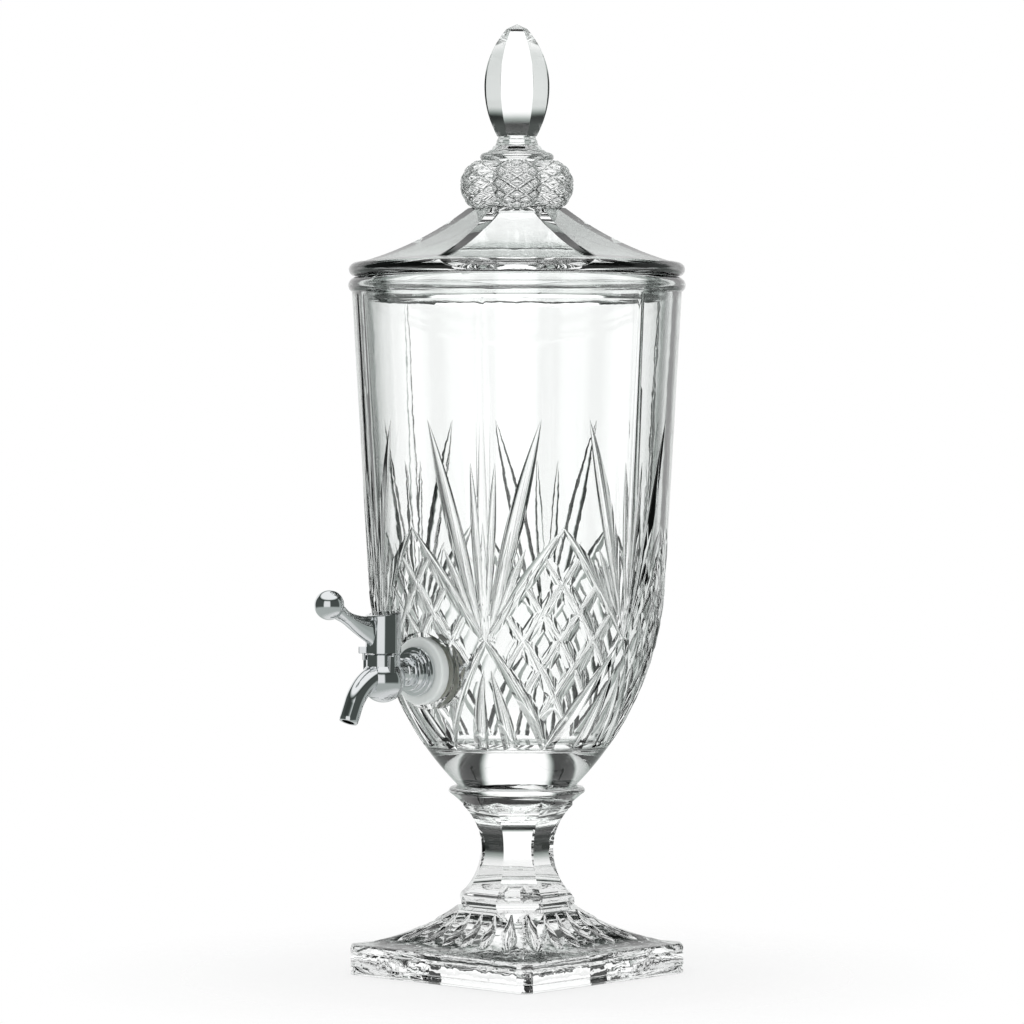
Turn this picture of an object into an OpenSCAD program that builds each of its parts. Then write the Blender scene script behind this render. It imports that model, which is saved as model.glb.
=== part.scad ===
// Footed drink dispenser in pressed glass: an urn on an octagonal pedestal, a lid with a knob, a plug tap.
// Millimetres, +Z up. The origin is the centre of the foot's underside, and the tap points along -Y.

/* [Pedestal] */
// Side of the square foot
foot_w = 130; // [110:1:150]
// Thickness of the foot at its edge
foot_h = 16; // [10:0.5:22]
// Width of the flat across each corner of the foot
foot_corner = 8.4; // [4:0.2:12]
// Bevel round the foot's upper edge
foot_bevel = 2; // [1:0.5:3]
// Height where the flared foot meets the bead
flare_top_z = 35; // [31:0.5:38]
// Radius of the flared foot where it meets the bead
flare_top_r = 31; // [27:0.5:33]
// Depth of the flare's hollow curve over the flat sides
flare_side_sag = 5; // [2:0.5:6]
// Depth of the flare's hollow curve over the corners
flare_corner_sag = 3.4; // [2:0.2:6]
// Number of petals pressed into the flare
petal_count = 32; // [16:8:32]
// Depth of a petal at its middle
petal_depth = 1.3; // [0.6:0.1:1.6]
// Height of the bead above the flare
bead_h = 9; // [6:0.5:10]
// Radius of the bead over its corners
bead_r = 32.2; // [30:0.2:34]
// Height of the stem's waist above the table
waist_z = 66; // [62:1:70]
// Radius of the waist over its corners
waist_r = 20.3; // [17:0.1:24]
// Radius of the hollow curve along the stem's panels
stem_curve_r = 33.5; // [30:0.5:40]
// Height of the joint between the pedestal and the bowl
joint_z = 99.7; // [97:0.1:104]
// Radius of the collar under the bowl
collar_r = 36.1; // [33:0.1:40]
// Radius of the collar's rounded edge
collar_edge_r = 3; // [2:0.1:3.5]

/* [Bowl] */
// Height of the bowl's rim above the table
rim_z = 367; // [340:1:420]
// Height of the rounded lip
lip_h = 8.5; // [6:0.5:12]
// How far the lip stands out past the wall
lip_out = 2; // [1:0.1:3]
// Radius of the wall under the lip
mouth_r = 86.8; // [82:0.1:92]
// Height where the wall starts to curve in
shoulder_z = 205; // [195:1:210]
// Radius of the wall there
shoulder_r = 78.1; // [74:0.1:80]
// Radius of the curve along the bowl's belly
belly_curve_r = 163; // [155:1:175]
// Thickness of the glass wall
wall = 6; // [5:0.1:7]
// Height of the floor inside the bowl
floor_z = 121; // [115:0.5:126]
// Radius of the cemented joint between bowl and pedestal
joint_r = 30.5; // [26:0.5:31]
// Thickness of a cemented joint
bond_t = 0.3; // [0.2:0.1:0.5]

/* [Cut pattern] */
// Number of fans, and of diamond panels between them
pattern_count = 6; // [5:1:7]
// Height of the point where a fan's leaves meet
fan_z = 178.6; // [174:0.2:184]
// Half the height of a diamond panel
panel_half_h = 57.6; // [52:0.2:60]
// Lines each way inside a diamond panel
panel_lines = 3; // [2:1:4]
// Depth of the cuts that frame a diamond panel
frame_cut = 2.3; // [1.5:0.1:3]
// Depth of the crossing cuts inside a diamond panel
diamond_cut = 1.8; // [0.8:0.1:2]
// Depth of a fan's leaves
leaf_cut = 2; // [1:0.1:2.6]
// Depth of the blade that runs up to the rim
blade_cut = 1; // [0.6:0.1:1.6]
// Half the angle of a leaf's V, from its middle plane to its flank
leaf_angle = 66; // [58:1:69]
// Half the angle of a frame cut's V
frame_angle = 61; // [55:1:65]
// Half the angle of a crossing cut's V, wide and shallow
diamond_angle = 70; // [60:1:71]
// Height that the long outer leaves reach
long_leaf_z = 292; // [280:1:310]
// Height that the inner leaves reach
inner_leaf_z = 268; // [255:1:275]
// Height that the short leaves beside the diamond panels reach
side_leaf_z = 246; // [240:1:252]

/* [Tap seat] */
// Height of the tap hole's centre
tap_z = 162.6; // [158:0.2:168]
// How far the flat seat stands out of the wall at the tap hole
seat_stand = 0.2; // [0.1:0.1:1]
// Radius of the flat seat outside
seat_r = 20; // [19.5:0.1:22]
// Width of the flat seat inside that shows round the inner washer
seat_margin = 1; // [0.5:0.1:1.5]
// Thickness of the glass between the flat seats
seat_t = 8; // [7:0.1:9]
// Radius of the hole through the glass
hole_r = 8.5; // [8.2:0.1:9]

/* [Lid] */
// How far the lid's rim stands back from the bowl's lip
lid_inset = 0.3; // [0:0.1:2]
// Height of the lid's rounded rim
lid_rim_h = 7.4; // [6:0.1:9]
// Play under the lid where it rests on the bowl
lid_seat_gap = 0.3; // [0.2:0.1:0.5]
// Play between the lid's locating ring and the bowl
lid_play = 1.5; // [1:0.1:2.5]
// Depth of the locating ring below the lid's rim
ring_depth = 13; // [8:0.5:16]
// Thickness of the locating ring
ring_t = 4.5; // [3:0.1:6]
// Height of the dome above the lid's rim
dome_rise = 29; // [24:0.5:34]
// Width of the lid's rim outside the dome's flats
rim_land = 15.5; // [15:0.5:20]
// Half-width of the dome over its flats, under the knob
dome_neck = 22; // [20:0.5:24]
// Depth of the dome's hollow curve
dome_sag = 3.2; // [1:0.2:5]
// Thickness of the dome, measured upright
dome_t = 6; // [4:0.5:7]
// Turn of the lid from the tap's direction
lid_turn = 42.4; // [0:0.1:60]

/* [Knob] */
// Number of lobes round the knob
lobe_count = 6; // [5:1:8]
// Radius of a lobe
lobe_r = 13.6; // [12:0.1:15]
// Distance from the lid's axis to a lobe's middle
lobe_ring_r = 18.8; // [17:0.1:20]
// Height of the knob's lobes
lobe_h = 25; // [20:0.5:27]

/* [Finial] */
// Radius of the finial's round base
disc_r = 19.4; // [16:0.1:21]
// Thickness of the finial's round base
disc_h = 4.4; // [3:0.1:6]
// Height of the stepped neck above the base
neck_h = 9; // [7:0.5:12]
// Radius of the neck over its corners
neck_r = 10.5; // [9:0.1:12]
// Height from the neck to the spire's widest point
spire_low_h = 26; // [22:0.5:30]
// Height from the widest point to the tip
spire_high_h = 32.6; // [28:0.1:38]
// Radius of the spire over its corners
spire_r = 17.1; // [15:0.1:19]

/* [Washers and nut] */
// Thickness of the outer silicone washer
outer_washer_t = 5.7; // [3:0.1:7]
// Radius of the outer silicone washer
outer_washer_r = 17.5; // [15:0.1:18]
// Thickness of the inner silicone washer
inner_washer_t = 3; // [2:0.1:4]
// Radius of the inner silicone washer
inner_washer_r = 15.5; // [14:0.1:17]
// Thickness of the flat washer under the nut
flat_washer_t = 1; // [0.6:0.1:1.6]
// Radius of the flat washer under the nut
flat_washer_r = 13.5; // [12.5:0.1:14]
// Width of the nut across its flats
nut_af = 23; // [21:0.5:24]
// Thickness of the nut
nut_t = 6.5; // [5:0.5:8]
// Length of the shank left past the nut
shank_end = 4; // [2:0.5:8]
// Play of the washers and the nut on the shank
shank_play = 0.1; // [0.05:0.05:0.2]

/* [Tap body] */
// Radius of the shank through the glass
shank_r = 7.8; // [7.2:0.1:8]
// Radius of the waterway through the shank
shank_bore_r = 4.2; // [3.5:0.1:5]
// Radius of the flange against the outer washer
flange_r = 12.8; // [11:0.1:15]
// Thickness of the flange
flange_t = 3.3; // [2:0.1:5]
// Radius of the ring in front of the flange
ring_r = 9.8; // [9:0.1:10.5]
// Width of the groove between the flange and the ring
ring_groove = 1; // [0.6:0.1:1.4]
// Thickness of the ring in front of the flange
ring_w = 4; // [3:0.1:5]
// Radius of the neck between the ring and the chamber
tap_neck_r = 6.7; // [6.2:0.1:7.5]
// Distance from the seat to the valve's axis
valve_reach = 31; // [29:0.1:34]
// Radius of the round valve chamber
chamber_r = 11.4; // [11:0.1:12]
// Height of the chamber's middle above the tap hole's centre
chamber_rise = -3.5; // [-4:0.1:-3]
// Radius of the collar above the chamber
valve_collar_r = 8.8; // [8.5:0.1:9]
// Height of the collar's top above the tap hole's centre
valve_collar_top = 9.9; // [9.5:0.1:11]
// Radius of the cap screwed in under the chamber
cap_r = 7.4; // [7:0.1:7.8]
// Height of the cap's inner face above the chamber's lowest point
cap_h = 3.8; // [3.5:0.1:4.2]

/* [Spout] */
// Radius of the spout outside, along its straight tip
spout_r = 5; // [4.6:0.1:5.4]
// Radius of the spout where it leaves the valve chamber
spout_root_r = 6.4; // [5.4:0.1:7]
// Radius of the waterway in the spout
spout_bore_r = 3.3; // [2.6:0.1:3.6]
// Radius of the bend along the spout's middle line
spout_bend_r = 23.5; // [20:0.5:26]
// Angle that the spout turns down
spout_turn = 66; // [55:1:75]
// Length of the straight tip
spout_tip = 9.8; // [8:0.1:14]

/* [Valve] */
// Radius of the turning plug
plug_r = 6.1; // [5.8:0.1:6.3]
// Play round the plug, the stem and the O-rings' bores
valve_play = 0.1; // [0.05:0.05:0.2]
// Radius of the port across the plug
port_r = 3.5; // [2.8:0.1:3.6]
// Radius of the stem above the plug
stem_r = 4.4; // [4:0.1:4.8]
// Length of the stem inside the handle
stem_in = 13; // [10:0.5:14]
// Thickness of an O-ring
oring_w = 1.4; // [1.2:0.1:1.6]

/* [Handle] */
// Radius of the handle's sleeve
sleeve_r = 9.2; // [9:0.1:10]
// Height of the sleeve on the valve's axis
sleeve_h = 20.6; // [20:0.2:24]
// Slope of the sleeve's top, down towards the lever
top_slope = 7.5; // [0:0.5:10]
// Gap between the sleeve and the collar it turns on
sleeve_gap = 0.3; // [0.2:0.1:0.5]
// Distance from the valve's axis to the middle of the lever's ball
lever_reach = 39; // [34:0.5:46]
// Height of the ball's middle above the sleeve's lower edge
ball_rise = 25.8; // [22:0.2:30]
// Radius of the lever's ball
ball_r = 7.6; // [6.5:0.1:9]
// Radius of the lever behind the ball
lever_neck_r = 3.6; // [3:0.1:4.5]
// Depth of the lever at the sleeve
lever_root_h = 15; // [12:0.5:16]
// Thickness of the lever at the sleeve
lever_root_w = 6; // [5:0.5:8]
// Turn of the stop tooth from the lever's direction
tooth_turn = -44; // [-50:1:-38]
// Travel of the handle between its stops
handle_travel = 90; // [80:1:95]
// Radius of the handle's retaining screw
screw_r = 1.5; // [1.3:0.1:1.7]
// Radius of the screw's head
screw_head_r = 2.8; // [2.5:0.1:3]
// Radius of the cap over the screw
top_cap_r = 6.4; // [6:0.1:7]

/* [Hidden] */
$fn = 72;
far = 200;            // longer than any cut needs to be
glass = [0.80, 0.88, 0.86];
cement = [0.90, 0.95, 0.90];
chrome = [0.72, 0.74, 0.76];
silicone = [0.72, 0.76, 0.76];
rubber = [0.30, 0.30, 0.30];
acetal = [0.90, 0.90, 0.88];

// ---------------------------------------------------------------- shared geometry

function unit(v) = v / norm(v);
function mix(a, b, t) = a + (b - a) * t;

// Radius of the arc over a chord with a given sag.
function sag_radius(chord, sag) = chord * chord / (8 * sag) + sag / 2;

// Centre of an arc through p and q, on the right of the way from p to q for a positive sag.
function arc_centre(p, q, sag) = let (c = norm(q - p), u = (q - p) / c, r = sag_radius(c, sag))
    (p + q) / 2 + (r - sag) * [u[1], -u[0]];

// A solid with flat-sided plan: count pairs of opposite walls, each with the same upright outline.
module panelled(count, turn = 0) {
    intersection_for (k = [0 : count - 1])
        rotate([0, 0, turn + k * 180 / count]) rotate([90, 0, 0])
            linear_extrude(height = 2 * far, center = true) {
                children();
                mirror([1, 0]) children();
            }
}

// Half the outline of a disc of radius r and height h that stands at z, with a round edge.
module bullnose(r, z, h) {
    translate([0, z]) square([r - h / 2, h]);
    translate([r - h / 2, z + h / 2]) circle(r = h / 2, $fn = 64);
}

// A closed strip through rings of points, each ring with the same number of points.
module strip(rings) {
    m = len(rings[0]);
    n = len(rings) - 1;
    first = [for (k = [0 : m - 1]) k];
    last = [for (k = [m - 1 : -1 : 0]) n * m + k];
    sides = [for (i = [0 : n - 1], k = [0 : m - 1]) let (a = i * m + k, b = i * m + (k + 1) % m)
        each [[a, a + m, b], [b, a + m, b + m]]];
    polyhedron([for (r = rings) each r], concat([first], [last], sides));
}

// ---------------------------------------------------------------- pedestal

bead_z = flare_top_z;
corner_cos = cos(22.5);
foot_half = foot_w / 2;
foot_diag = foot_w / sqrt(2) - foot_corner / 2;
side_foot = [foot_half - foot_bevel, foot_h];
corner_foot = [foot_diag - foot_bevel, foot_h];
flare_top = [flare_top_r, flare_top_z];

module flare_profile(outer, sag) {
    r = sag_radius(norm(outer - flare_top), sag);
    difference() {
        polygon([[0, 0], [outer[0] + foot_bevel, 0], [outer[0] + foot_bevel, foot_h - foot_bevel], outer,
                 flare_top, [0, flare_top_z]]);
        translate(arc_centre(flare_top, outer, -sag)) circle(r = r, $fn = 180);
    }
}

// Half-width of a flare profile at height z.
function flare_x(outer, sag, z) = let (c = arc_centre(flare_top, outer, -sag),
    r = sag_radius(norm(outer - flare_top), sag)) c[0] - sqrt(max(0, r * r - (z - c[1]) * (z - c[1])));
// Angle from a to the nearest of the directions that lie a quarter turn apart.
function off_quarter(a) = let (m = ((a % 90) + 90) % 90) min(m, 90 - m);
function flare_r(a, z) = min(flare_x(side_foot, flare_side_sag, z) / cos(off_quarter(a)),
    flare_x(corner_foot, flare_corner_sag, z) / cos(off_quarter(a - 45)));

petal_low_z = foot_h + 4.6;
petal_high_z = flare_top_z - 1.2;
petal_share = 0.8;    // width of a petal as a share of its place on the circle
petal_tip = 0.2;      // depth of a petal at its two ends
petal_neck = 0.3;     // width of its ends as a share of its full width
petal_lean = 1.6;     // moves its widest place out towards the foot's edge
petal_steps = 6;
petal_section = [[-1, 0], [-0.6, 0.75], [0, 1], [0.6, 0.75], [1, 0]];   // across, and depth

// A pressed petal: a point under the bead that swells to a round end near the foot's edge.
module petal(a) {
    up = 0.8;
    dz = 0.2;
    rotate([0, 0, a]) strip([for (i = [0 : petal_steps]) let (t = i / petal_steps,
        z = mix(petal_high_z, petal_low_z, t), r = flare_r(a, z), swell = sin(180 * pow(t, petal_lean)),
        out = unit([dz, 0, flare_r(a, z - dz) - r]), d = petal_tip + petal_depth * swell,
        w = petal_share * PI * r / petal_count * mix(petal_neck, 1, swell))
        [for (q = petal_section) [r, q[0] * w, z] + out * (q[1] == 0 ? up : -d * q[1])]]);
}

module stem_profile() {
    difference() {
        translate([0, bead_z]) square([flare_top_r * corner_cos, joint_z - 2 * collar_edge_r - bead_z]);
        translate([waist_r * corner_cos + stem_curve_r, waist_z]) {
            circle(r = stem_curve_r, $fn = 180);
            square([far, 2 * stem_curve_r]);
        }
    }
    translate([0, bead_z - 1]) square([bead_r * corner_cos - bead_h / 2, bead_h + 1]);
    bullnose(bead_r * corner_cos, bead_z, bead_h);
}

collar_h = 12;        // height of the collar's flare
collar_flare = 9;     // how much it widens
collar_drop = 0.4;    // how far its rounded edge lies below the joint

module collar_profile() {
    edge = [collar_r - collar_edge_r, joint_z - collar_edge_r - collar_drop];
    tangent = collar_edge_r * [0.6, -0.8];
    shoulder = collar_edge_r * [0.5, 0.86];
    polygon([[0, joint_z - collar_h], [collar_r - collar_flare, joint_z - collar_h], edge + tangent,
             edge + shoulder, [joint_r + 0.6, joint_z], [0, joint_z]]);
    translate(edge) circle(r = collar_edge_r, $fn = 64);
}

module pedestal() {
    color(glass) {
        difference() {
            intersection() {
                panelled(2) flare_profile(side_foot, flare_side_sag);
                panelled(2, 45) flare_profile(corner_foot, flare_corner_sag);
            }
            for (k = [0 : petal_count - 1]) petal((k + 0.5) * 360 / petal_count);
        }
        panelled(4, 22.5) stem_profile();
        rotate_extrude() collar_profile();
    }
}

module bowl_bond() { color(cement) translate([0, 0, joint_z]) cylinder(r = joint_r, h = bond_t); }

// ---------------------------------------------------------------- bowl

bowl_z = joint_z + bond_t;
mouth_z = rim_z - lip_h;
cut_low_z = fan_z - panel_half_h;
wall_slope = (mouth_r - shoulder_r) / (mouth_z - shoulder_z);
belly_r = shoulder_r - belly_curve_r * cos(atan(wall_slope));
belly_z = shoulder_z + belly_curve_r * sin(atan(wall_slope));
band = 12;            // height of one conical band of the belly

function belly(r, z) = belly_r + sqrt(r * r - (z - belly_z) * (z - belly_z));
// Radius of the wall at height z, a given depth under its outer skin.
function wall_r(z, depth) = z >= shoulder_z
    ? shoulder_r + wall_slope * (z - shoulder_z) - depth / cos(atan(wall_slope))
    : belly(belly_curve_r - depth, z);
function skin_r(z) = wall_r(z, 0);
function skin_slope(z) = z >= shoulder_z ? wall_slope : (belly_z - z) / (skin_r(z) - belly_r);
function skin_normal(a, z) = let (f = atan(skin_slope(z))) [cos(f) * cos(a), cos(f) * sin(a), -sin(f)];
function skin_point(a, z) = [skin_r(z) * cos(a), skin_r(z) * sin(a), z];
// Points of the wall's outline from height z up to the shoulder.
function belly_line(z, depth) = let (n = ceil((shoulder_z - z) / band))
    [for (k = [0 : n]) let (h = mix(z, shoulder_z, k / n)) [wall_r(h, depth), h]];

module bowl_outside() {
    rotate_extrude() {
        polygon(concat([[0, bowl_z]], belly_line(bowl_z, 0),
                       [[mouth_r, mouth_z], [mouth_r, rim_z - lip_h / 2], [0, rim_z - lip_h / 2]]));
        bullnose(mouth_r + lip_out, mouth_z, lip_h);
    }
}

module bowl_inside() {
    rotate_extrude()
        polygon(concat([[0, floor_z]], belly_line(floor_z, wall),
                       [for (z = [mouth_z, rim_z + 1]) [wall_r(mouth_z, wall), z]], [[0, rim_z + 1]]));
}

cut_step = 24;        // height between two rings of a cut
cut_proud = 0.6;      // how far a cutter stands out of the skin
run_out = 0.05;       // depth of a cut where it fades out
foot_cut = 1.6;       // depth of the cuts that end at the clear foot of the bowl
foot_rise = 0.5;      // height of their ends above it
node_cut = 0.8;       // depth of the panels' cuts where they meet the frame

// A V-shaped cut over the skin from [angle, height, depth] to another, with its own depth halfway.
module mitre(from, to, depth, angle) {
    steps = max(4, ceil(abs(to[1] - from[1]) / cut_step));
    ends = (from[2] + to[2]) / 2;
    strip([for (i = [0 : steps]) let (t = i / steps, s = mix(from, to, t), s2 = mix(from, to, t + 0.01),
        d = s[2] + (depth - ends) * 4 * t * (1 - t), w = (d + cut_proud) * tan(angle),
        p = skin_point(s[0], s[1]), out = skin_normal(s[0], s[1]),
        side = unit(cross(skin_point(s2[0], s2[1]) - p, out)))
        [p - d * out, p + cut_proud * out - w * side, p + cut_proud * out + w * side]]);
}

half_turn = 180 / pattern_count;
seam_turn = 7;        // keeps the seam of the round surfaces off the middle of a cut

// A frame of four cuts round a lattice of crossing cuts.
module diamond_panel(a) {
    for (s = [-1, 1]) {
        side = [a + s * half_turn, fan_z, node_cut];
        mitre([a, fan_z + panel_half_h, 6 * run_out], side, frame_cut, frame_angle);
        mitre([a, cut_low_z + foot_rise, foot_cut], side, frame_cut, frame_angle);
        for (k = [1 : panel_lines]) let (t = k / (panel_lines + 1))
            mitre([a - s * half_turn * (1 - t), fan_z + panel_half_h * t, node_cut],
                  [a + s * half_turn * t, fan_z - panel_half_h * (1 - t), node_cut],
                  diamond_cut, diamond_angle);
    }
}

// The leaves on one side of a fan: [share of the way to the panel at the tip, tip's height,
// the same share at the root, root's height above the fan's point, share of the full depth].
leaves = [[0.33, inner_leaf_z, 0.03, 8, 0.85],
          [0.70, long_leaf_z, 0.07, 6, 1],
          [0.83, side_leaf_z, 0.13, 7, 0.8]];
root_cut = 0.6;       // depth of a leaf at its root
blade_tip = 0.5;      // depth of the blade under the lip
// The leaf below the fan's point: its shares at the tip and the foot, the tip's height, share of the depth.
spur = [0.05, 0.30, -15, 0.8];

// Leaves that spring from the point between two diamond panels, and a blade up to the rim.
module fan(a) {
    mitre([a, mouth_z - 1, blade_tip], [a, fan_z, node_cut], blade_cut, leaf_angle);
    for (s = [-half_turn, half_turn]) {
        for (leaf = leaves)
            mitre([a + s * leaf[0], leaf[1], run_out], [a + s * leaf[2], fan_z + leaf[3], root_cut],
                  leaf_cut * leaf[4], leaf_angle);
        mitre([a + s * spur[0], fan_z + spur[2], run_out],
              [a + s * spur[1], cut_low_z + foot_rise, foot_cut], leaf_cut * spur[3], leaf_angle);
    }
}

tap_side = -90;       // direction of the tap, seen from above
seat_y = skin_r(tap_z) + seat_stand;
inner_y = seat_y - seat_t;

// A cylinder on the tap hole's axis, from one distance from the bowl's axis to another.
module along_tap(r, near, far_end) {
    translate([0, -near, tap_z]) rotate([90, 0, 0]) cylinder(r = r, h = far_end - near);
}

// The bowl's outside after the first few panels and fans have been cut, one after another.
module cut_bowl(done) {
    if (done == 0) rotate([0, 0, seam_turn]) bowl_outside();
    else difference() {
        difference() {
            cut_bowl(done - 1);
            diamond_panel(tap_side + done * 2 * half_turn);
        }
        fan(tap_side + (done * 2 + 1) * half_turn);
    }
}

module bowl() {
    color(glass) difference() {
        union() {
            cut_bowl(pattern_count);
            along_tap(seat_r, inner_y - wall, seat_y);
        }
        difference() {
            bowl_inside();
            along_tap(inner_washer_r + seat_margin, inner_y, seat_y);
        }
        along_tap(seat_r, seat_y, seat_y + 2 * wall);
        along_tap(inner_washer_r + seat_margin, inner_y - 2 * wall, inner_y);
        along_tap(hole_r, inner_y - wall, seat_y + wall);
    }
}

// ---------------------------------------------------------------- lid

lid_r = mouth_r + lip_out - lid_inset;
dome_base = lid_r - rim_land;
lid_z = rim_z + lid_seat_gap;
lid_top_z = lid_z + lid_rim_h;
dome_top_z = lid_top_z + dome_rise;
ring_out_r = wall_r(mouth_z, wall) - lid_play;
knob_z = dome_top_z - 1;
knob_top_z = knob_z + lobe_h;

// A six-sided dome whose flats are hollow curves, each hollowed by one long round cut.
module dome() {
    low = [dome_base, lid_top_z];
    high = [dome_neck, dome_top_z];
    middle = arc_centre(high, low, -dome_sag);
    difference() {
        translate([0, 0, lid_top_z - 1]) cylinder(r = dome_base / hex_cos, h = dome_rise + 1, $fn = 6);
        for (k = [0 : 5]) rotate([0, 0, k * 60]) translate([0, -middle[0], middle[1]]) rotate([0, 90, 0])
            cylinder(r = sag_radius(norm(high - low), dome_sag), h = 2 * far, center = true, $fn = 360);
    }
}

// The dome's inside: a hollow curve in a few conical bands, over the wide mouth of the locating ring.
module lid_hollow() {
    low = [dome_base - dome_t, lid_top_z - dome_t];
    high = [dome_neck - dome_t, dome_top_z - dome_t];
    bands = 5;
    mouth = ring_out_r - ring_t;
    polygon(concat([[0, lid_z - ring_depth - 1], [mouth, lid_z - ring_depth - 1], [mouth, low[1]]],
        [for (k = [0 : bands]) let (t = k / bands) mix(low, high, t) - [0, dome_sag * 4 * t * (1 - t)]],
        [[0, high[1]]]));
}

module lobe(a) {
    rotate([0, 0, a]) translate([lobe_ring_r, 0, knob_z + lobe_h / 2]) sphere(r = lobe_r);
}

module knob() {
    intersection() {
        union() {
            for (k = [0 : lobe_count - 1]) lobe(tap_side + k * 360 / lobe_count);
            cylinder(r = lobe_ring_r, h = far * 3);
        }
        translate([-far, -far, knob_z]) cube([2 * far, 2 * far, lobe_h]);
    }
}

module lid() {
    color(glass) rotate([0, 0, lid_turn]) {
        difference() {
            union() {
                rotate_extrude() {
                    bullnose(lid_r, lid_z, lid_rim_h);
                    translate([0, lid_z - ring_depth]) square([ring_out_r, ring_depth + 1]);
                }
                dome();
            }
            rotate_extrude() lid_hollow();
        }
        knob();
    }
}

module finial_bond() {
    color(cement) translate([0, 0, knob_top_z]) cylinder(r = disc_r - disc_steps[0][0], h = bond_t);
}

// ---------------------------------------------------------------- finial

disc_z = knob_top_z + bond_t;
neck_z = disc_z + disc_h;
spire_z = neck_z + neck_h;
wide_z = spire_z + spire_low_h;
tip_z = wide_z + spire_high_h;
hex_turn = 30;        // half the turn between two corners of a hexagon
hex_cos = cos(hex_turn);
spire_high_r = 50;    // radius of the curve above the spire's widest point
spire_seat = 0.6;     // how far the round neck lies inside the spire's corners
// Steps of the base: in from its edge, and up from its top.
disc_steps = [[3, -1], [4.5, 1.4], [6.2, 1.4], [6.6, 3.4]];
// Steps of the neck: out from its radius, and up as a share of its height.
neck_steps = [[0.8, 0.44], [0.2, 0.72], [-spire_seat, 0.83]];

module spire_profile() {
    half = spire_r * hex_cos;
    low_step = (spire_r - neck_r) * hex_cos;
    low_r = (spire_low_h * spire_low_h + low_step * low_step) / (2 * low_step);
    intersection() {
        translate([half - low_r, wide_z]) circle(r = low_r, $fn = 180);
        translate([0, spire_z - 1]) square([half, spire_low_h + 1]);
    }
    intersection() {
        translate([half - spire_high_r, wide_z]) circle(r = spire_high_r, $fn = 180);
        polygon([[0, wide_z], [half, wide_z], [half, tip_z - half / 2], [0, tip_z]]);
    }
}

module finial() {
    color(glass) rotate([0, 0, lid_turn]) {
        rotate_extrude() {
            bullnose(disc_r, disc_z, disc_h);
            polygon(concat([[0, neck_z - 1]], [for (p = disc_steps) [disc_r - p[0], neck_z + p[1]]],
                           [for (p = neck_steps) [neck_r + p[0], neck_z + p[1] * neck_h]],
                           [[neck_r - spire_seat, spire_z + 0.5], [0, spire_z + 0.5]]));
        }
        panelled(3, hex_turn) spire_profile();
    }
}

// ---------------------------------------------------------------- washers and nut

flange_y = seat_y + outer_washer_t;
nut_y = inner_y - inner_washer_t - flat_washer_t;
shank_y = nut_y - nut_t - shank_end;

module tap_washer(r, near, far_end) {
    difference() {
        along_tap(r, near, far_end);
        along_tap(shank_r + shank_play, near - 1, far_end + 1);
    }
}

module outer_washer() { color(silicone) tap_washer(outer_washer_r, seat_y, flange_y); }
module inner_washer() { color(silicone) tap_washer(inner_washer_r, inner_y - inner_washer_t, inner_y); }
module flat_washer() { color(chrome) tap_washer(flat_washer_r, nut_y, nut_y + flat_washer_t); }

module lock_nut() {
    color(chrome) difference() {
        translate([0, -nut_y, tap_z]) rotate([-90, 0, 0]) intersection() {
            cylinder(r = nut_af / 2 / hex_cos, h = nut_t, $fn = 6);
            cylinder(r1 = nut_af / 2 + 1, r2 = nut_af / 2 + 0.2, h = nut_t);
        }
        along_tap(shank_r + shank_play, nut_y - nut_t - 1, nut_y + 1);
    }
}

// ---------------------------------------------------------------- tap body

valve_y = seat_y + valve_reach;
chamber_z = tap_z + chamber_rise;
collar_top_z = tap_z + valve_collar_top;
chamber_floor_z = chamber_z - chamber_r + cap_h;
plug_z = chamber_floor_z + valve_play;
gland_h = 4.3;        // thickness of the collar above the plug
plug_top_z = collar_top_z - gland_h;
port_z = tap_z - 0.8;
ring_y = flange_y + flange_t + ring_groove;
stop_proud = 1.8;     // how far the stops stand out of the collar
stop_r = valve_collar_r + stop_proud;
stop_w = 3.4;
stop_drop = 0.4;      // how far the stops end below the collar's top
tooth_w = 4.4;
tooth_h = 3.6;        // height of the tooth on the sleeve, and of the leg under it
stop_gap = 1;         // degrees left between the tooth and a stop
stop_half = asin(stop_w / 2 / stop_r) + asin(tooth_w / 2 / valve_collar_r) + stop_gap;

// Places a shape that is drawn round the valve's axis, with its turn from the lever's direction.
module at_valve(z = 0, turn = 0) { translate([0, -valve_y, z]) rotate([0, 0, turn]) children(); }

// The straight end of the spout, at the end of a bend down from the valve's axis. It starts
// a little before the bend's end, where a lap is given.
module spout_end(r, length, lap = 0) {
    at_valve(port_z - spout_bend_r) rotate([spout_turn, 0, 0]) translate([0, lap, spout_bend_r])
        rotate([90, 0, 0]) cylinder(r = r, h = length + lap);
}

// The spout's outside: a bend that tapers from the chamber and ends inside the straight tip.
module spout() {
    steps = 8;
    sides = 32;
    inset = 0.1;      // how far the bend's end is thinner than the tip
    lap = 0.3;        // how far the tip starts before the bend's end
    at_valve(port_z - spout_bend_r) strip([for (i = [0 : steps + 1])
        let (t = min(1, i / steps), a = t * spout_turn, past = i > steps ? 1 : 0,
            r = mix(spout_root_r, spout_r - inset, t), out = [0, -sin(a), cos(a)])
        [for (k = [0 : sides - 1]) let (b = k * 360 / sides)
            [r * cos(b), 0, 0] + out * (spout_bend_r + r * sin(b)) - past * [0, cos(a), sin(a)]]]);
    spout_end(spout_r, spout_tip, lap);
}

module spout_bore() {
    at_valve(port_z - spout_bend_r) rotate([0, -90, 0]) rotate([0, 0, -spout_turn])
        rotate_extrude(angle = spout_turn) translate([spout_bend_r, 0]) circle(r = spout_bore_r);
    spout_end(spout_bore_r, spout_tip + 1);
}

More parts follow.
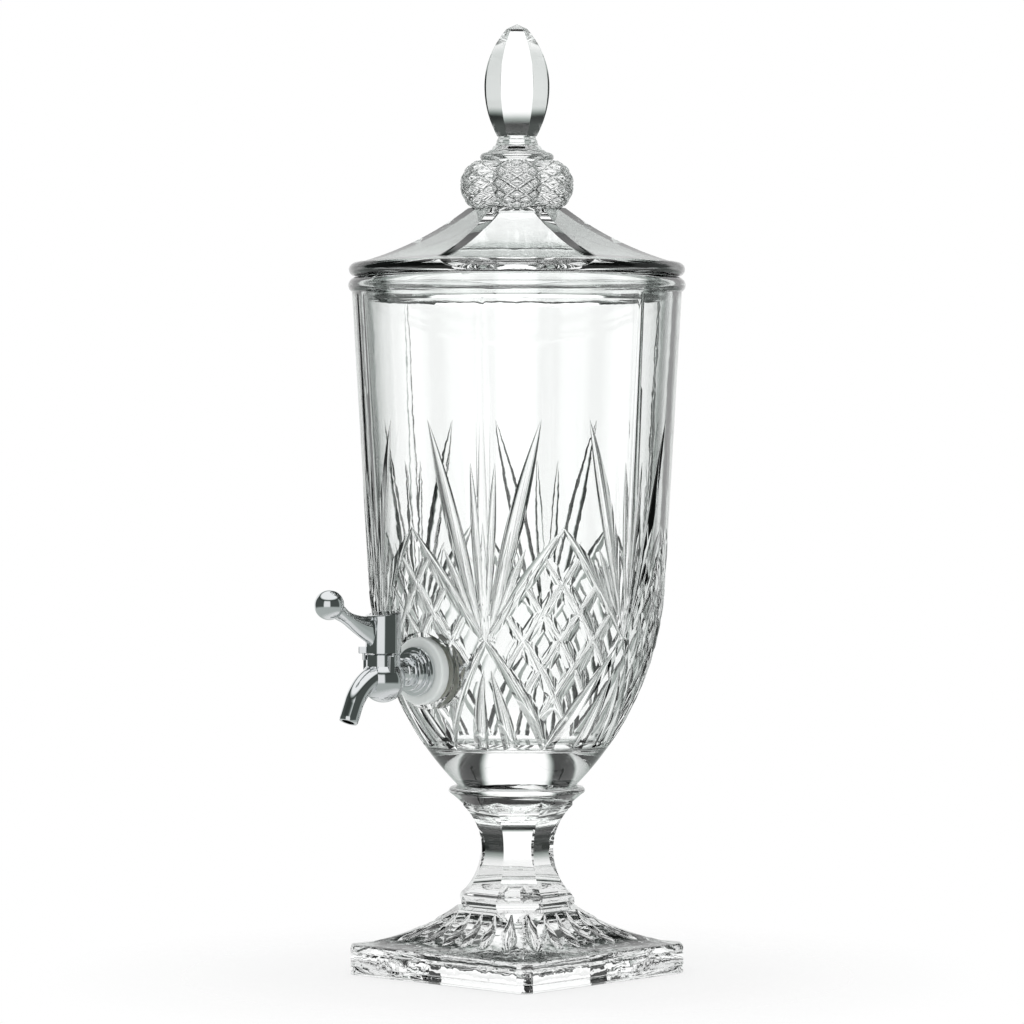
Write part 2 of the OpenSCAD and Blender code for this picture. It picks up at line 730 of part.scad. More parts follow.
module stop_lug(turn) {
    at_valve(chamber_z, turn) translate([-stop_w / 2, -stop_r, 0])
        cube([stop_w, stop_r - valve_collar_r / 2, collar_top_z - stop_drop - chamber_z]);
}

module tap_body() {
    color(chrome) difference() {
        union() {
            along_tap(shank_r, shank_y, flange_y + flange_t / 2);
            along_tap(flange_r, flange_y, flange_y + flange_t);
            translate([0, -flange_y - flange_t, tap_z]) rotate([90, 0, 0])
                cylinder(r1 = ring_r + ring_groove, r2 = ring_r - ring_groove, h = ring_groove);
            along_tap(ring_r, ring_y, ring_y + ring_w);
            along_tap(tap_neck_r, flange_y + flange_t, valve_y - tap_neck_r / 2);
            at_valve(chamber_z) sphere(r = chamber_r);
            at_valve(chamber_z) cylinder(r = valve_collar_r, h = collar_top_z - chamber_z);
            stop_lug(tooth_turn - stop_half);
            stop_lug(tooth_turn + handle_travel + stop_half);
            spout();
        }
        along_tap(shank_bore_r, shank_y - 1, valve_y);
        spout_bore();
        at_valve(chamber_floor_z)
            cylinder(r = plug_r + valve_play, h = plug_top_z + valve_play - chamber_floor_z);
        at_valve(chamber_z) cylinder(r = stem_r + valve_play, h = far / 4);
        at_valve(chamber_z - chamber_r - 1) cylinder(r = cap_r, h = cap_h + 1);
    }
}

module chamber_cap() {
    color(chrome) intersection() {
        at_valve(chamber_z) sphere(r = chamber_r);
        at_valve(chamber_z - chamber_r - 1) cylinder(r = cap_r, h = cap_h + 1);
    }
}

// ---------------------------------------------------------------- valve

stem_top_z = collar_top_z + stem_in;
lower_ring_z = (plug_z + port_z - port_r) / 2;
upper_ring_z = (plug_top_z + port_z + port_r) / 2;
stem_ring_z = (plug_top_z + valve_play + collar_top_z) / 2;

ring_play = 0.05;     // play of an O-ring in its groove

// An O-ring whose outside lies on a bore of the given radius, or the groove that holds it.
module oring(bore, z, grow = 0) {
    at_valve(z) rotate_extrude()
        translate([bore - oring_w / 2, 0]) circle(r = oring_w / 2 + grow, $fn = 48);
}

module valve_plug() {
    color(acetal) difference() {
        union() {
            at_valve(plug_z) cylinder(r = plug_r, h = plug_top_z - plug_z);
            at_valve(plug_z) cylinder(r = stem_r, h = stem_top_z - plug_z);
        }
        at_valve(port_z) rotate([0, 90, 0]) cylinder(r = port_r, h = 4 * plug_r, center = true);
        oring(plug_r, upper_ring_z, ring_play);
        oring(plug_r, lower_ring_z, ring_play);
        oring(stem_r, stem_ring_z, ring_play);
        at_valve(stem_top_z - screw_depth) cylinder(r = screw_r, h = screw_depth + 1);
    }
}

module plug_ring_upper() { color(rubber) oring(plug_r, upper_ring_z); }
module plug_ring_lower() { color(rubber) oring(plug_r, lower_ring_z); }
module stem_ring() { color(rubber) oring(stem_r, stem_ring_z); }

// ---------------------------------------------------------------- handle

sleeve_z = collar_top_z + sleeve_gap;
sleeve_top_z = sleeve_z + sleeve_h;
tooth_proud = 3.4;    // how far the tooth stands out of the sleeve
screw_depth = 8;
head_z = stem_top_z + 1;
head_h = 2;
cross_w = 0.8;        // width and depth of the cross in the screw's head

// Everything below the sleeve's sloping top.
module under_slope() {
    at_valve(sleeve_top_z) rotate([top_slope, 0, 0]) translate([-far / 2, -far / 2, -far]) cube(far);
}

knee_out = 9;         // how far the lever's deep root runs out before it turns into the neck
knee_drop = 4.2;      // how far this knee lies below the sleeve's top
knee = [0, -sleeve_r - knee_out, sleeve_h - knee_drop];
knee_r = lever_neck_r + 0.6;
root_r = lever_root_w / 2;
root_top_z = sleeve_h - 2;         // top of the root where it leaves the sleeve
root_sink = 0.4;      // how far the root's rounded edge sinks into the sleeve

module lever() {
    hull() {
        for (z = [root_top_z - lever_root_h + root_r, root_top_z - root_r])
            translate([0, -sleeve_r + root_r + root_sink, z]) sphere(r = root_r, $fn = 32);
        translate(knee) sphere(r = knee_r, $fn = 32);
    }
    hull() {
        translate(knee) sphere(r = knee_r, $fn = 32);
        translate([0, -lever_reach + ball_r, ball_rise - 1.5]) sphere(r = lever_neck_r, $fn = 32);
    }
    translate([0, -lever_reach, ball_rise]) sphere(r = ball_r);
}

module tap_handle() {
    color(chrome) difference() {
        union() {
            intersection() {
                at_valve(sleeve_z) cylinder(r = sleeve_r, h = sleeve_h + 5);
                under_slope();
            }
            at_valve(sleeve_z) lever();
            at_valve(sleeve_z, tooth_turn) translate([-tooth_w / 2, -sleeve_r - tooth_proud, 0])
                cube([tooth_w, 1.5 * tooth_proud, tooth_h]);
            at_valve(sleeve_z + 0.2 - tooth_h, tooth_turn) translate([-tooth_w / 2, -stop_r, 0])
                cube([tooth_w, stop_proud - sleeve_gap, tooth_h]);
        }
        at_valve(sleeve_z - 1) cylinder(r = stem_r, h = head_z - 1 - sleeve_z + 1);
        at_valve(sleeve_z) cylinder(r = screw_r, h = far / 4);
        at_valve(head_z) cylinder(r = top_cap_r, h = far / 4);
    }
}

module handle_screw() {
    slot_l = 3 * screw_head_r;
    color(chrome) difference() {
        union() {
            at_valve(stem_top_z - screw_depth + 1)
                cylinder(r = screw_r, h = head_z - stem_top_z + screw_depth);
            at_valve(head_z) cylinder(r = screw_head_r, h = head_h);
        }
        at_valve(head_z + head_h) for (turn = [0, 90]) rotate([0, 0, turn])
            cube([cross_w, slot_l, 2 * cross_w], center = true);
    }
}

module handle_cap() {
    color(chrome) intersection() {
        at_valve(head_z + head_h) cylinder(r = top_cap_r, h = far / 4);
        under_slope();
    }
}

pedestal();
bowl_bond();
bowl();
lid();
finial_bond();
finial();
outer_washer();
inner_washer();
flat_washer();
lock_nut();
tap_body();
chamber_cap();
valve_plug();
plug_ring_upper();
plug_ring_lower();
stem_ring();
tap_handle();
handle_screw();
handle_cap();
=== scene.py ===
"""Footed pressed-glass drink dispenser: glass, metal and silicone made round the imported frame.

Shapes are written in mm, with Z up from the table and the tap towards -Y, and solid() turns them into metres.
"""
import math

import bpy
import numpy as np
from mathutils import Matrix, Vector


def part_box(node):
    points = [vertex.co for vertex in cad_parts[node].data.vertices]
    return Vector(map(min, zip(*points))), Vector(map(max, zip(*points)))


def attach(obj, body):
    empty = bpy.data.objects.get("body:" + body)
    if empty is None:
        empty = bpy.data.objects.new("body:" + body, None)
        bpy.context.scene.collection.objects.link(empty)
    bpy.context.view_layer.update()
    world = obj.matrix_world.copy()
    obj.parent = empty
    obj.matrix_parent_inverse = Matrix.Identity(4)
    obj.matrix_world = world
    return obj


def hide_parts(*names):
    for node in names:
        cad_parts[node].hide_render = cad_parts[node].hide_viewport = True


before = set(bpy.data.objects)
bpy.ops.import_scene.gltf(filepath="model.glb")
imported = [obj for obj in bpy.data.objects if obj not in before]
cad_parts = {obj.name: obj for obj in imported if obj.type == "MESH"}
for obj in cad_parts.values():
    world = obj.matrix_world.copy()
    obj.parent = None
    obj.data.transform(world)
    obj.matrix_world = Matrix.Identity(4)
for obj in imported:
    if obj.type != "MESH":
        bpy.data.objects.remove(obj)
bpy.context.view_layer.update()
MM = 0.001


def high(node):
    return [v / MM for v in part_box(node)[1]]


def low(node):
    return [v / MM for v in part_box(node)[0]]


# ---------------------------------------------------------------- sizes, from the frame where it has them
RIM_Z = high("bowl")[2]
BOWL_Z = high("pedestal")[2]
LID_RING_D = 13.0                     # depth of the lid's locating ring
LID_Z = low("lid")[2] + LID_RING_D    # underside of the lid's rim
TOP_Z = high("finial")[2]
SEAT_Y = -high("outer_washer")[1]     # distance from the bowl's axis to the flat tap seat
# The rest are the part's own sizes: lip, line of the wall, the tap's seats and hole, and diamond panels.
LIP_H, LIP_OUT = 8.5, 2.0
MOUTH_R, SHOULDER_R, SHOULDER_Z = 86.8, 78.1, 205.0
BELLY_RHO, WALL, FLOOR_Z = 163.0, 6.0, 121.0
SEAT_R, INNER_SEAT_R, SEAT_T, HOLE_R, TAP_Z = 20.0, 16.5, 8.0, 8.5, 162.6
LID_TURN = 42.4
FAN_Z, PANEL_HALF_H = 178.6, 57.6
MOUTH_Z = RIM_Z - LIP_H
CUT_LOW_Z = FAN_Z - PANEL_HALF_H


# ---------------------------------------------------------------- mesh helpers
def mix(a, b, t):
    return a + (b - a) * t


def arc(centre, radius, start, end, count):
    """Points (r, z) along an arc, angles in degrees from +r."""
    angles = np.radians(np.linspace(start, end, count))
    return [(centre[0] + radius * math.cos(a), centre[1] + radius * math.sin(a)) for a in angles]


def loft(rings, closed=False):
    """Vertices and faces through rings of equal point counts; closed joins the last ring to the first."""
    count = len(rings[0])
    points = [tuple(p) for ring in rings for p in ring]
    faces = []
    steps = len(rings) if closed else len(rings) - 1
    for i in range(steps):
        a, b = i * count, (i + 1) % len(rings) * count
        for k in range(count):
            n = (k + 1) % count
            faces.append((a + k, a + n, b + n, b + k))
    if not closed:
        faces.append(tuple(range(count))[::-1])
        last = (len(rings) - 1) * count
        faces.append(tuple(range(last, last + count)))
    return points, faces


def ring(radius, z, count=240, turn=0.0):
    """A ring round the Z axis; radius is a number or a function of the azimuth in degrees."""
    angles = np.arange(count) * 360.0 / count
    radii = radius(angles) if callable(radius) else np.full(count, float(radius))
    a = np.radians(angles + turn)
    return np.stack([radii * np.cos(a), radii * np.sin(a), np.full(count, float(z))], axis=1)


def lathe(profile, count=240, turn=0.0, closed=False):
    return loft([ring(r, z, count, turn) for r, z in profile], closed)


def joined(parts):
    points, faces = [], []
    for p, f in parts:
        base = len(points)
        points += [tuple(v) for v in p]
        faces += [tuple(i + base for i in face) for face in f]
    return points, faces


def solid(name, data):
    """A mesh object from points in mm, with its faces turned outward."""
    points, faces = data
    mesh = bpy.data.meshes.new(name)
    mesh.from_pydata([tuple(c * MM for c in p) for p in points], [], faces)
    obj = bpy.data.objects.new(name, mesh)
    bpy.context.scene.collection.objects.link(obj)
    v = np.array(points)
    volume = 0.0
    for f in faces:
        for k in range(1, len(f) - 1):
            volume += np.dot(v[f[0]], np.cross(v[f[k]], v[f[k + 1]]))
    if volume < 0:
        mesh.flip_normals()
    return obj


def boolean(obj, tools, operation="DIFFERENCE"):
    """Applies each tool in turn and deletes it."""
    for tool in tools:
        mod = obj.modifiers.new("cut", "BOOLEAN")
        mod.solver = "MANIFOLD"
        mod.operation = operation
        mod.object = tool
    graph = bpy.context.evaluated_depsgraph_get()
    mesh = bpy.data.meshes.new_from_object(obj.evaluated_get(graph))
    obj.modifiers.clear()
    old = obj.data
    obj.data = mesh
    bpy.data.meshes.remove(old)
    for tool in tools:
        bpy.data.objects.remove(tool)
    return obj


def shade(obj, angle=28.0):
    mesh = obj.data
    mesh.polygons.foreach_set("use_smooth", [True] * len(mesh.polygons))
    mesh.set_sharp_from_angle(angle=math.radians(angle))


def finish(obj, body, material, replaced=(), angle=28.0):
    shade(obj, angle)
    obj.data.materials.clear()
    obj.data.materials.append(material)
    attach(obj, body)
    if replaced:
        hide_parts(*replaced)
    return obj


# ---------------------------------------------------------------- materials
# Noise scales are per metre, and bump distances are in metres.
def new_material(name):
    material = bpy.data.materials.new(name)
    material.use_nodes = True
    nodes, links = material.node_tree.nodes, material.node_tree.links
    return material, nodes, links, nodes["Principled BSDF"]


def noise(nodes, links, scale, detail=3.0, stretch=(1, 1, 1)):
    coords = nodes.new("ShaderNodeTexCoord")
    mapping = nodes.new("ShaderNodeMapping")
    mapping.inputs["Scale"].default_value = stretch
    texture = nodes.new("ShaderNodeTexNoise")
    texture.inputs["Scale"].default_value = scale
    texture.inputs["Detail"].default_value = detail
    links.new(coords.outputs["Object"], mapping.inputs["Vector"])
    links.new(mapping.outputs["Vector"], texture.inputs["Vector"])
    return texture


def ramp(nodes, links, source, low_value, high_value, start=0.35, end=0.65):
    node = nodes.new("ShaderNodeMapRange")
    node.inputs["From Min"].default_value = start
    node.inputs["From Max"].default_value = end
    node.inputs["To Min"].default_value = low_value
    node.inputs["To Max"].default_value = high_value
    links.new(source, node.inputs["Value"])
    return node.outputs["Result"]


def colour_ramp(nodes, links, source, dark, light):
    node = nodes.new("ShaderNodeMix")
    node.data_type = "RGBA"
    node.inputs["A"].default_value = (*dark, 1)
    node.inputs["B"].default_value = (*light, 1)
    links.new(source, node.inputs["Factor"])
    return node.outputs["Result"]


def bump(nodes, links, height, shader, strength, distance):
    node = nodes.new("ShaderNodeBump")
    node.inputs["Strength"].default_value = strength
    node.inputs["Distance"].default_value = distance
    links.new(height, node.inputs["Height"])
    links.new(node.outputs["Normal"], shader.inputs["Normal"])


def glass_material(name, tint, edge, wave, ripple):
    """Clear fire-polished glass: slow waves, finer ripples low down, and painted shade: its colour turns to a
    dark edge colour where the surface is seen at grazing angles, standing in for the dark outlines of its
    edges.
    """
    edge_from, edge_to, ripple_top, ripple_end = 0.42, 0.90, 0.016, 0.030
    material, nodes, links, shader = new_material(name)
    shader.inputs["Transmission Weight"].default_value = 1.0
    shader.inputs["IOR"].default_value = 1.52
    swirl = noise(nodes, links, 14.0, 2.0)
    clear = colour_ramp(nodes, links, swirl.outputs["Fac"], tint, [mix(c, 1.0, 0.5) for c in tint])
    facing = nodes.new("ShaderNodeLayerWeight")
    facing.inputs["Blend"].default_value = 0.5
    # Painted shade: the base colour goes from the clear tint to the dark edge colour as the facing falls off,
    # so edges and grooves read dark.
    painted_edge_shade = nodes.new("ShaderNodeMix")
    painted_edge_shade.data_type = "RGBA"
    edge_shade_share = ramp(nodes, links, facing.outputs["Facing"], 0.0, 1.0, edge_from, edge_to)
    links.new(edge_shade_share, painted_edge_shade.inputs["Factor"])
    links.new(clear, painted_edge_shade.inputs["A"])
    painted_edge_shade.inputs["B"].default_value = (*edge, 1)
    links.new(painted_edge_shade.outputs["Result"], shader.inputs["Base Color"])
    links.new(ramp(nodes, links, swirl.outputs["Fac"], 0.0, 0.012), shader.inputs["Roughness"])
    waves = noise(nodes, links, 26.0, 2.0)
    ripples = noise(nodes, links, 150.0, 1.5)
    coords = nodes.new("ShaderNodeTexCoord")
    split = nodes.new("ShaderNodeSeparateXYZ")
    links.new(coords.outputs["Object"], split.inputs[0])
    share = ramp(nodes, links, split.outputs["Z"], ripple, ripple * 0.12, ripple_top, ripple_end)
    fine = nodes.new("ShaderNodeMath")
    fine.operation = "MULTIPLY_ADD"
    links.new(ripples.outputs["Fac"], fine.inputs[0])
    links.new(share, fine.inputs[1])
    links.new(waves.outputs["Fac"], fine.inputs[2])
    bump(nodes, links, fine.outputs[0], shader, 1.0, wave)
    return material


def metal_material(name, dark, light, rough_low, rough_high, grain=(1, 1, 1), scale=60.0):
    """Plated or bare metal with soft smudges in its gloss."""
    material, nodes, links, shader = new_material(name)
    shader.inputs["Metallic"].default_value = 1.0
    smudge = noise(nodes, links, scale, 4.0, grain)
    links.new(colour_ramp(nodes, links, smudge.outputs["Fac"], dark, light), shader.inputs["Base Color"])
    links.new(ramp(nodes, links, smudge.outputs["Fac"], rough_low, rough_high), shader.inputs["Roughness"])
    bump(nodes, links, smudge.outputs["Fac"], shader, 0.4, 0.00004)
    return material


def silicone_material(name, dark, light):
    """Milky silicone: cloudy colour, a soft sheen and a fine moulded grain."""
    material, nodes, links, shader = new_material(name)
    cloud = noise(nodes, links, 90.0, 3.0)
    links.new(colour_ramp(nodes, links, cloud.outputs["Fac"], dark, light), shader.inputs["Base Color"])
    links.new(ramp(nodes, links, cloud.outputs["Fac"], 0.32, 0.5), shader.inputs["Roughness"])
    shader.inputs["Subsurface Weight"].default_value = 0.35
    shader.inputs["Subsurface Radius"].default_value = (1.0, 1.0, 1.0)
    shader.inputs["Subsurface Scale"].default_value = 0.002
    shader.inputs["Coat Weight"].default_value = 0.25
    shader.inputs["Coat Roughness"].default_value = 0.25
    grain = noise(nodes, links, 900.0, 2.0)
    bump(nodes, links, grain.outputs["Fac"], shader, 0.25, 0.00008)
    return material


def plastic_material(name, dark, light, rough):
    """Moulded rubber or acetal with a fine mottle."""
    material, nodes, links, shader = new_material(name)
    mottle = noise(nodes, links, 300.0, 3.0)
    links.new(colour_ramp(nodes, links, mottle.outputs["Fac"], dark, light), shader.inputs["Base Color"])
    links.new(ramp(nodes, links, mottle.outputs["Fac"], rough, rough + 0.12), shader.inputs["Roughness"])
    bump(nodes, links, mottle.outputs["Fac"], shader, 0.2, 0.00003)
    return material


# The third colour of each glass is its painted edge shade, the dark tone its grazing edges are given.
GLASS = glass_material("clear_pressed_glass", (0.978, 0.99, 0.984), (0.13, 0.17, 0.15), 0.00010, 2.2)
LID_GLASS = glass_material("clear_lid_glass", (0.978, 0.99, 0.985), (0.13, 0.17, 0.15), 0.00008, 1.0)
CHROME = metal_material("bright_chrome", (0.62, 0.64, 0.65), (0.72, 0.74, 0.75), 0.03, 0.075)
STEEL = metal_material("plain_steel", (0.55, 0.56, 0.57), (0.68, 0.69, 0.70), 0.18, 0.34, (1, 1, 12), 120.0)
OUTER_SILICONE = silicone_material("milky_silicone", (0.74, 0.78, 0.76), (0.86, 0.89, 0.88))
INNER_SILICONE = silicone_material("warm_silicone", (0.62, 0.62, 0.54), (0.76, 0.76, 0.68))
RUBBER = plastic_material("black_rubber", (0.02, 0.02, 0.02), (0.05, 0.05, 0.05), 0.4)
ACETAL = plastic_material("white_acetal", (0.80, 0.80, 0.77), (0.90, 0.90, 0.88), 0.35)


# ---------------------------------------------------------------- bowl
WALL_SLOPE = (MOUTH_R - SHOULDER_R) / (MOUTH_Z - SHOULDER_Z)
LEAN = math.atan(WALL_SLOPE)
BELLY_R = SHOULDER_R - BELLY_RHO * math.cos(LEAN)
BELLY_Z = SHOULDER_Z + BELLY_RHO * math.sin(LEAN)


def skin_r(z, inset=0.0):
    """Radius of the bowl's outside: a cone above the shoulder and an arc below it."""
    z = np.asarray(z, float)
    rho = BELLY_RHO - inset
    cone = SHOULDER_R + WALL_SLOPE * (z - SHOULDER_Z) - inset / math.cos(LEAN)
    belly = BELLY_R + np.sqrt(np.maximum(rho * rho - (z - BELLY_Z) ** 2, 1.0))
    return np.where(z >= SHOULDER_Z, cone, belly)


def skin_slope(z):
    z = np.asarray(z, float)
    return np.where(z >= SHOULDER_Z, WALL_SLOPE, (BELLY_Z - z) / (skin_r(z) - BELLY_R))


def skin_point(a, z):
    a = math.radians(a)
    r = float(skin_r(z))
    return np.array([r * math.cos(a), r * math.sin(a), z])


def skin_normal(a, z):
    a = math.radians(a)
    f = math.atan(float(skin_slope(z)))
    return np.array([math.cos(f) * math.cos(a), math.cos(f) * math.sin(a), -math.sin(f)])


def unit(v):
    return v / np.linalg.norm(v)


def mitre(start, end, depth, angle, blunt, steps=12, proud=0.6):
    """A cutter over the skin from (azimuth, height, depth) to another, with its own depth halfway.

    Its section is a V whose bottom is rounded: blunt is the rounding as a share of the cut's half-width.
    """
    start, end = np.array(start, float), np.array(end, float)
    ends = (start[2] + end[2]) / 2
    across = np.linspace(-1, 1, 9)
    rise = (np.sqrt(across ** 2 + blunt ** 2) - blunt) / (math.sqrt(1 + blunt ** 2) - blunt)
    rings = []
    for i in range(steps + 1):
        t = i / steps
        s, ahead = mix(start, end, t), mix(start, end, t + 0.01)
        d = s[2] + (depth - ends) * 4 * t * (1 - t)
        p, n = skin_point(s[0], s[1]), skin_normal(s[0], s[1])
        side = unit(np.cross(skin_point(ahead[0], ahead[1]) - p, n))
        w = d * math.tan(math.radians(angle))
        section = [p - d * (1 - h) * n + q * w * side for q, h in zip(across, rise)]
        rings.append(section + [p + proud * n + (w + proud) * side, p + proud * n - (w + proud) * side])
    return loft(rings)


# Depth halfway along, half-angle of the V in degrees, and rounding of its bottom.
FRAME_CUT, LATTICE_CUT, BLADE_CUT = (2.3, 61.0, 0.25), (1.8, 70.0, 0.25), (0.7, 79.0, 1.5)
LEAF_DEPTH, LEAF_ANGLE, LEAF_BLUNT, SPUR_DEPTH, SPUR_BLUNT = 2.0, 66.0, 1.2, 1.6, 0.5
CROSSING_DEPTH, LATTICE_LINES, FAN_HALF = 0.8, 3, 30.0
# The leaves of half a fan: the tip's share of the half-angle and its height, the foot's share and its rise
# above FAN_Z, and the share of the depth.
LEAVES = ((0.15, 270, 0.02, 8, 0.6), (0.70, 292, 0.07, 6, 1.0), (0.52, 226, 0.12, 7, 0.6))


def bowl_cuts():
    """Every cut of one panel, with its middle at azimuth 0, and of one fan, at FAN_HALF."""
    half, cuts = FAN_HALF, []
    for s in (-1, 1):
        corner = (s * half, FAN_Z, CROSSING_DEPTH)
        cuts.append(((0, FAN_Z + PANEL_HALF_H, 0.3), corner, *FRAME_CUT))
        cuts.append(((0, CUT_LOW_Z + 0.5, 1.6), corner, *FRAME_CUT))
        for k in range(1, LATTICE_LINES + 1):
            t = k / (LATTICE_LINES + 1)
            cuts.append(((-s * half * (1 - t), FAN_Z + PANEL_HALF_H * t, CROSSING_DEPTH),
                         (s * half * t, FAN_Z - PANEL_HALF_H * (1 - t), CROSSING_DEPTH), *LATTICE_CUT))
    cuts.append(((half, MOUTH_Z - 1, 0.3), (half, FAN_Z, CROSSING_DEPTH), *BLADE_CUT))
    for s in (-1, 1):
        for share, top, foot, rise, depth in LEAVES:
            cuts.append(((half + s * half * share, top, 0.05), (half + s * half * foot, FAN_Z + rise, 0.6),
                         LEAF_DEPTH * depth, LEAF_ANGLE, LEAF_BLUNT))
        cuts.append(((half + s * half * 0.05, FAN_Z - 15, 0.05),
                     (half + s * half * 0.30, CUT_LOW_Z + 0.5, 1.8),
                     SPUR_DEPTH, LEAF_ANGLE, SPUR_BLUNT))
    return cuts


def drum(r, near, far, z=TAP_Z, count=96):
    """A cylinder along -Y between two distances from the bowl's axis."""
    a = np.arange(count) * 2 * math.pi / count
    return loft([[(r * math.cos(t), -y, z + r * math.sin(t)) for t in a] for y in (near, far)])


def bowl_outside():
    """The blank without its cuts: skin and rounded lip."""
    lip = arc((MOUTH_R + LIP_OUT - LIP_H / 2, RIM_Z - LIP_H / 2), LIP_H / 2, -57, 90, 20)
    skin = [(float(skin_r(z)), z) for z in np.linspace(BOWL_Z, MOUTH_Z, 96)]
    return [(0.01, BOWL_Z)] + skin + lip + [(0.01, RIM_Z)]


def bowl_inside():
    """The hollow: the wall's thickness inside the skin, rounded at the floor's corner and at the edge."""
    mouth = float(skin_r(MOUTH_Z, WALL))
    corner_r = float(skin_r(FLOOR_Z + 5, WALL)) - 5.5
    floor = arc((corner_r, FLOOR_Z + 5), 5, -90, -8, 8)
    wall = [(float(skin_r(z, WALL)), z) for z in np.linspace(FLOOR_Z + 5, MOUTH_Z, 84)]
    edge = arc((mouth + 2, RIM_Z - 2), 2, 180, 90, 8)
    return [(0.01, FLOOR_Z)] + floor + wall + edge + [(mouth + 2, RIM_Z + 2), (0.01, RIM_Z + 2)]


def bowl_mesh():
    """The blank is cut, then the tap's seat is set in its wall, and last it is hollowed."""
    bowl = solid("bowl_glass", lathe(bowl_outside(), 288, 0.6))
    tools = []
    for start, end, *section in bowl_cuts():
        copies = []
        for k in range(6):
            a = k * 60 - 90
            copies.append(mitre((start[0] + a, *start[1:]), (end[0] + a, *end[1:]), *section))
        tools.append(solid("cut", joined(copies)))
    boolean(bowl, tools)
    boolean(bowl, [solid("boss", drum(SEAT_R, SEAT_Y - SEAT_T - WALL, SEAT_Y))], "UNION")
    hollow = solid("hollow", lathe(bowl_inside(), 288, 0.6))
    boolean(hollow, [solid("pad", drum(INNER_SEAT_R, SEAT_Y - SEAT_T, SEAT_Y + 9))])
    return boolean(bowl, [hollow, solid("seat", drum(SEAT_R, SEAT_Y, SEAT_Y + 14)),
                          solid("inner_seat", drum(INNER_SEAT_R, SEAT_Y - SEAT_T - 12, SEAT_Y - SEAT_T)),
                          solid("hole", drum(HOLE_R, SEAT_Y - SEAT_T - 5, SEAT_Y + 5))])


# ---------------------------------------------------------------- pedestal
FOOT_HALF, FOOT_H, FOOT_CORNER, FOOT_BEVEL = 65.0, 16.0, 8.4, 2.0
FLARE_TOP = (31.0, 35.0)
COS8 = math.cos(math.radians(22.5))
BEAD_R, BEAD_H, WAIST_R, WAIST_Z, STEM_RHO = 32.2, 9.0, 20.3, 66.0, 33.5
COLLAR_R, COLLAR_EDGE, COLLAR_H = 36.1, 3.0, 12.0
FOOT_DIAG = FOOT_HALF * math.sqrt(2) - FOOT_CORNER / 2


def hollow_x(outer, inner, sag, z):
    """Half-width at height z of a hollow curve from outer up to inner."""
    p, q = np.array(inner), np.array(outer)
    chord = np.linalg.norm(q - p)
    rho = chord * chord / (8 * sag) + sag / 2
    u = (q - p) / chord
    centre = (p + q) / 2 + (rho - sag) * np.array([-u[1], u[0]])
    return centre[0] - math.sqrt(max(0.0, rho * rho - (z - centre[1]) ** 2))


def octo(side, corner):
    """A function of azimuth for a plan with flats at the sides and at the corners."""
    def radius(angles):
        m = np.mod(angles, 90)
        off = np.minimum(m, 90 - m)
        return np.minimum(side / np.cos(np.radians(off)), corner / np.cos(np.radians(45 - off)))
    return radius


def crease(side, corner):
    """Azimuth from a side's middle to where it meets the corner flat."""
    half = math.sqrt(0.5)
    return math.degrees(math.atan((corner / side - half) / half))


def plan_ring(side, corner, z, per=18, round_r=0.0):
    """A ring with points on every crease, and outside a round radius where that is larger."""
    c = crease(side, corner)
    side_part = np.linspace(-c, c, per, endpoint=False)
    corner_part = np.linspace(c, 90 - c, per, endpoint=False)
    quarter = np.concatenate([side_part, corner_part])
    angles = np.concatenate([quarter + 90 * k for k in range(4)])
    radii = np.maximum(octo(side, corner)(angles), round_r)
    a = np.radians(angles)
    return np.stack([radii * np.cos(a), radii * np.sin(a), np.full(len(a), float(z))], axis=1)


def flare_side(z):
    return hollow_x((FOOT_HALF - FOOT_BEVEL, FOOT_H), FLARE_TOP, 5.0, z)


def flare_corner(z):
    return hollow_x((FOOT_DIAG - FOOT_BEVEL, FOOT_H), FLARE_TOP, 3.4, z)


def stem_half(z):
    """Half-width of the octagonal stem, its bead included."""
    w = FLARE_TOP[0] * COS8
    reach = STEM_RHO ** 2 - (z - WAIST_Z) ** 2
    if reach > 0:
        w = min(w, WAIST_R * COS8 + STEM_RHO - math.sqrt(reach))
    bead = (BEAD_H / 2) ** 2 - (z - FLARE_TOP[1] - BEAD_H / 2) ** 2
    if bead >= 0:
        w = max(w, BEAD_R * COS8 - BEAD_H / 2 + math.sqrt(bead))
    return w


def collar_r(z):
    """Radius of the round collar under the bowl."""
    edge_z = BOWL_Z - COLLAR_EDGE - 0.4
    if z > edge_z:
        top = COLLAR_EDGE ** 2 - (z - edge_z) ** 2
        return COLLAR_R - COLLAR_EDGE + math.sqrt(max(top, 0.0))
    t = (z - BOWL_Z + COLLAR_H) / (edge_z - BOWL_Z + COLLAR_H)
    return 0.0 if t < 0 else mix(COLLAR_R - 9, COLLAR_R, t ** 1.25)


PETALS, PETAL_DEPTH, PETAL_WIDEST, PETAL_SHARE = 24, 2.8, 0.66, 0.68


def petal_swell(t):
    """From nothing at a petal's upper tip to 1 where it is widest, and to nothing at its rounded foot."""
    if t < PETAL_WIDEST:
        return math.sin(math.pi / 2 * t / PETAL_WIDEST)
    return math.sqrt(max(0.0, 1 - ((t - PETAL_WIDEST) / (1 - PETAL_WIDEST)) ** 2))


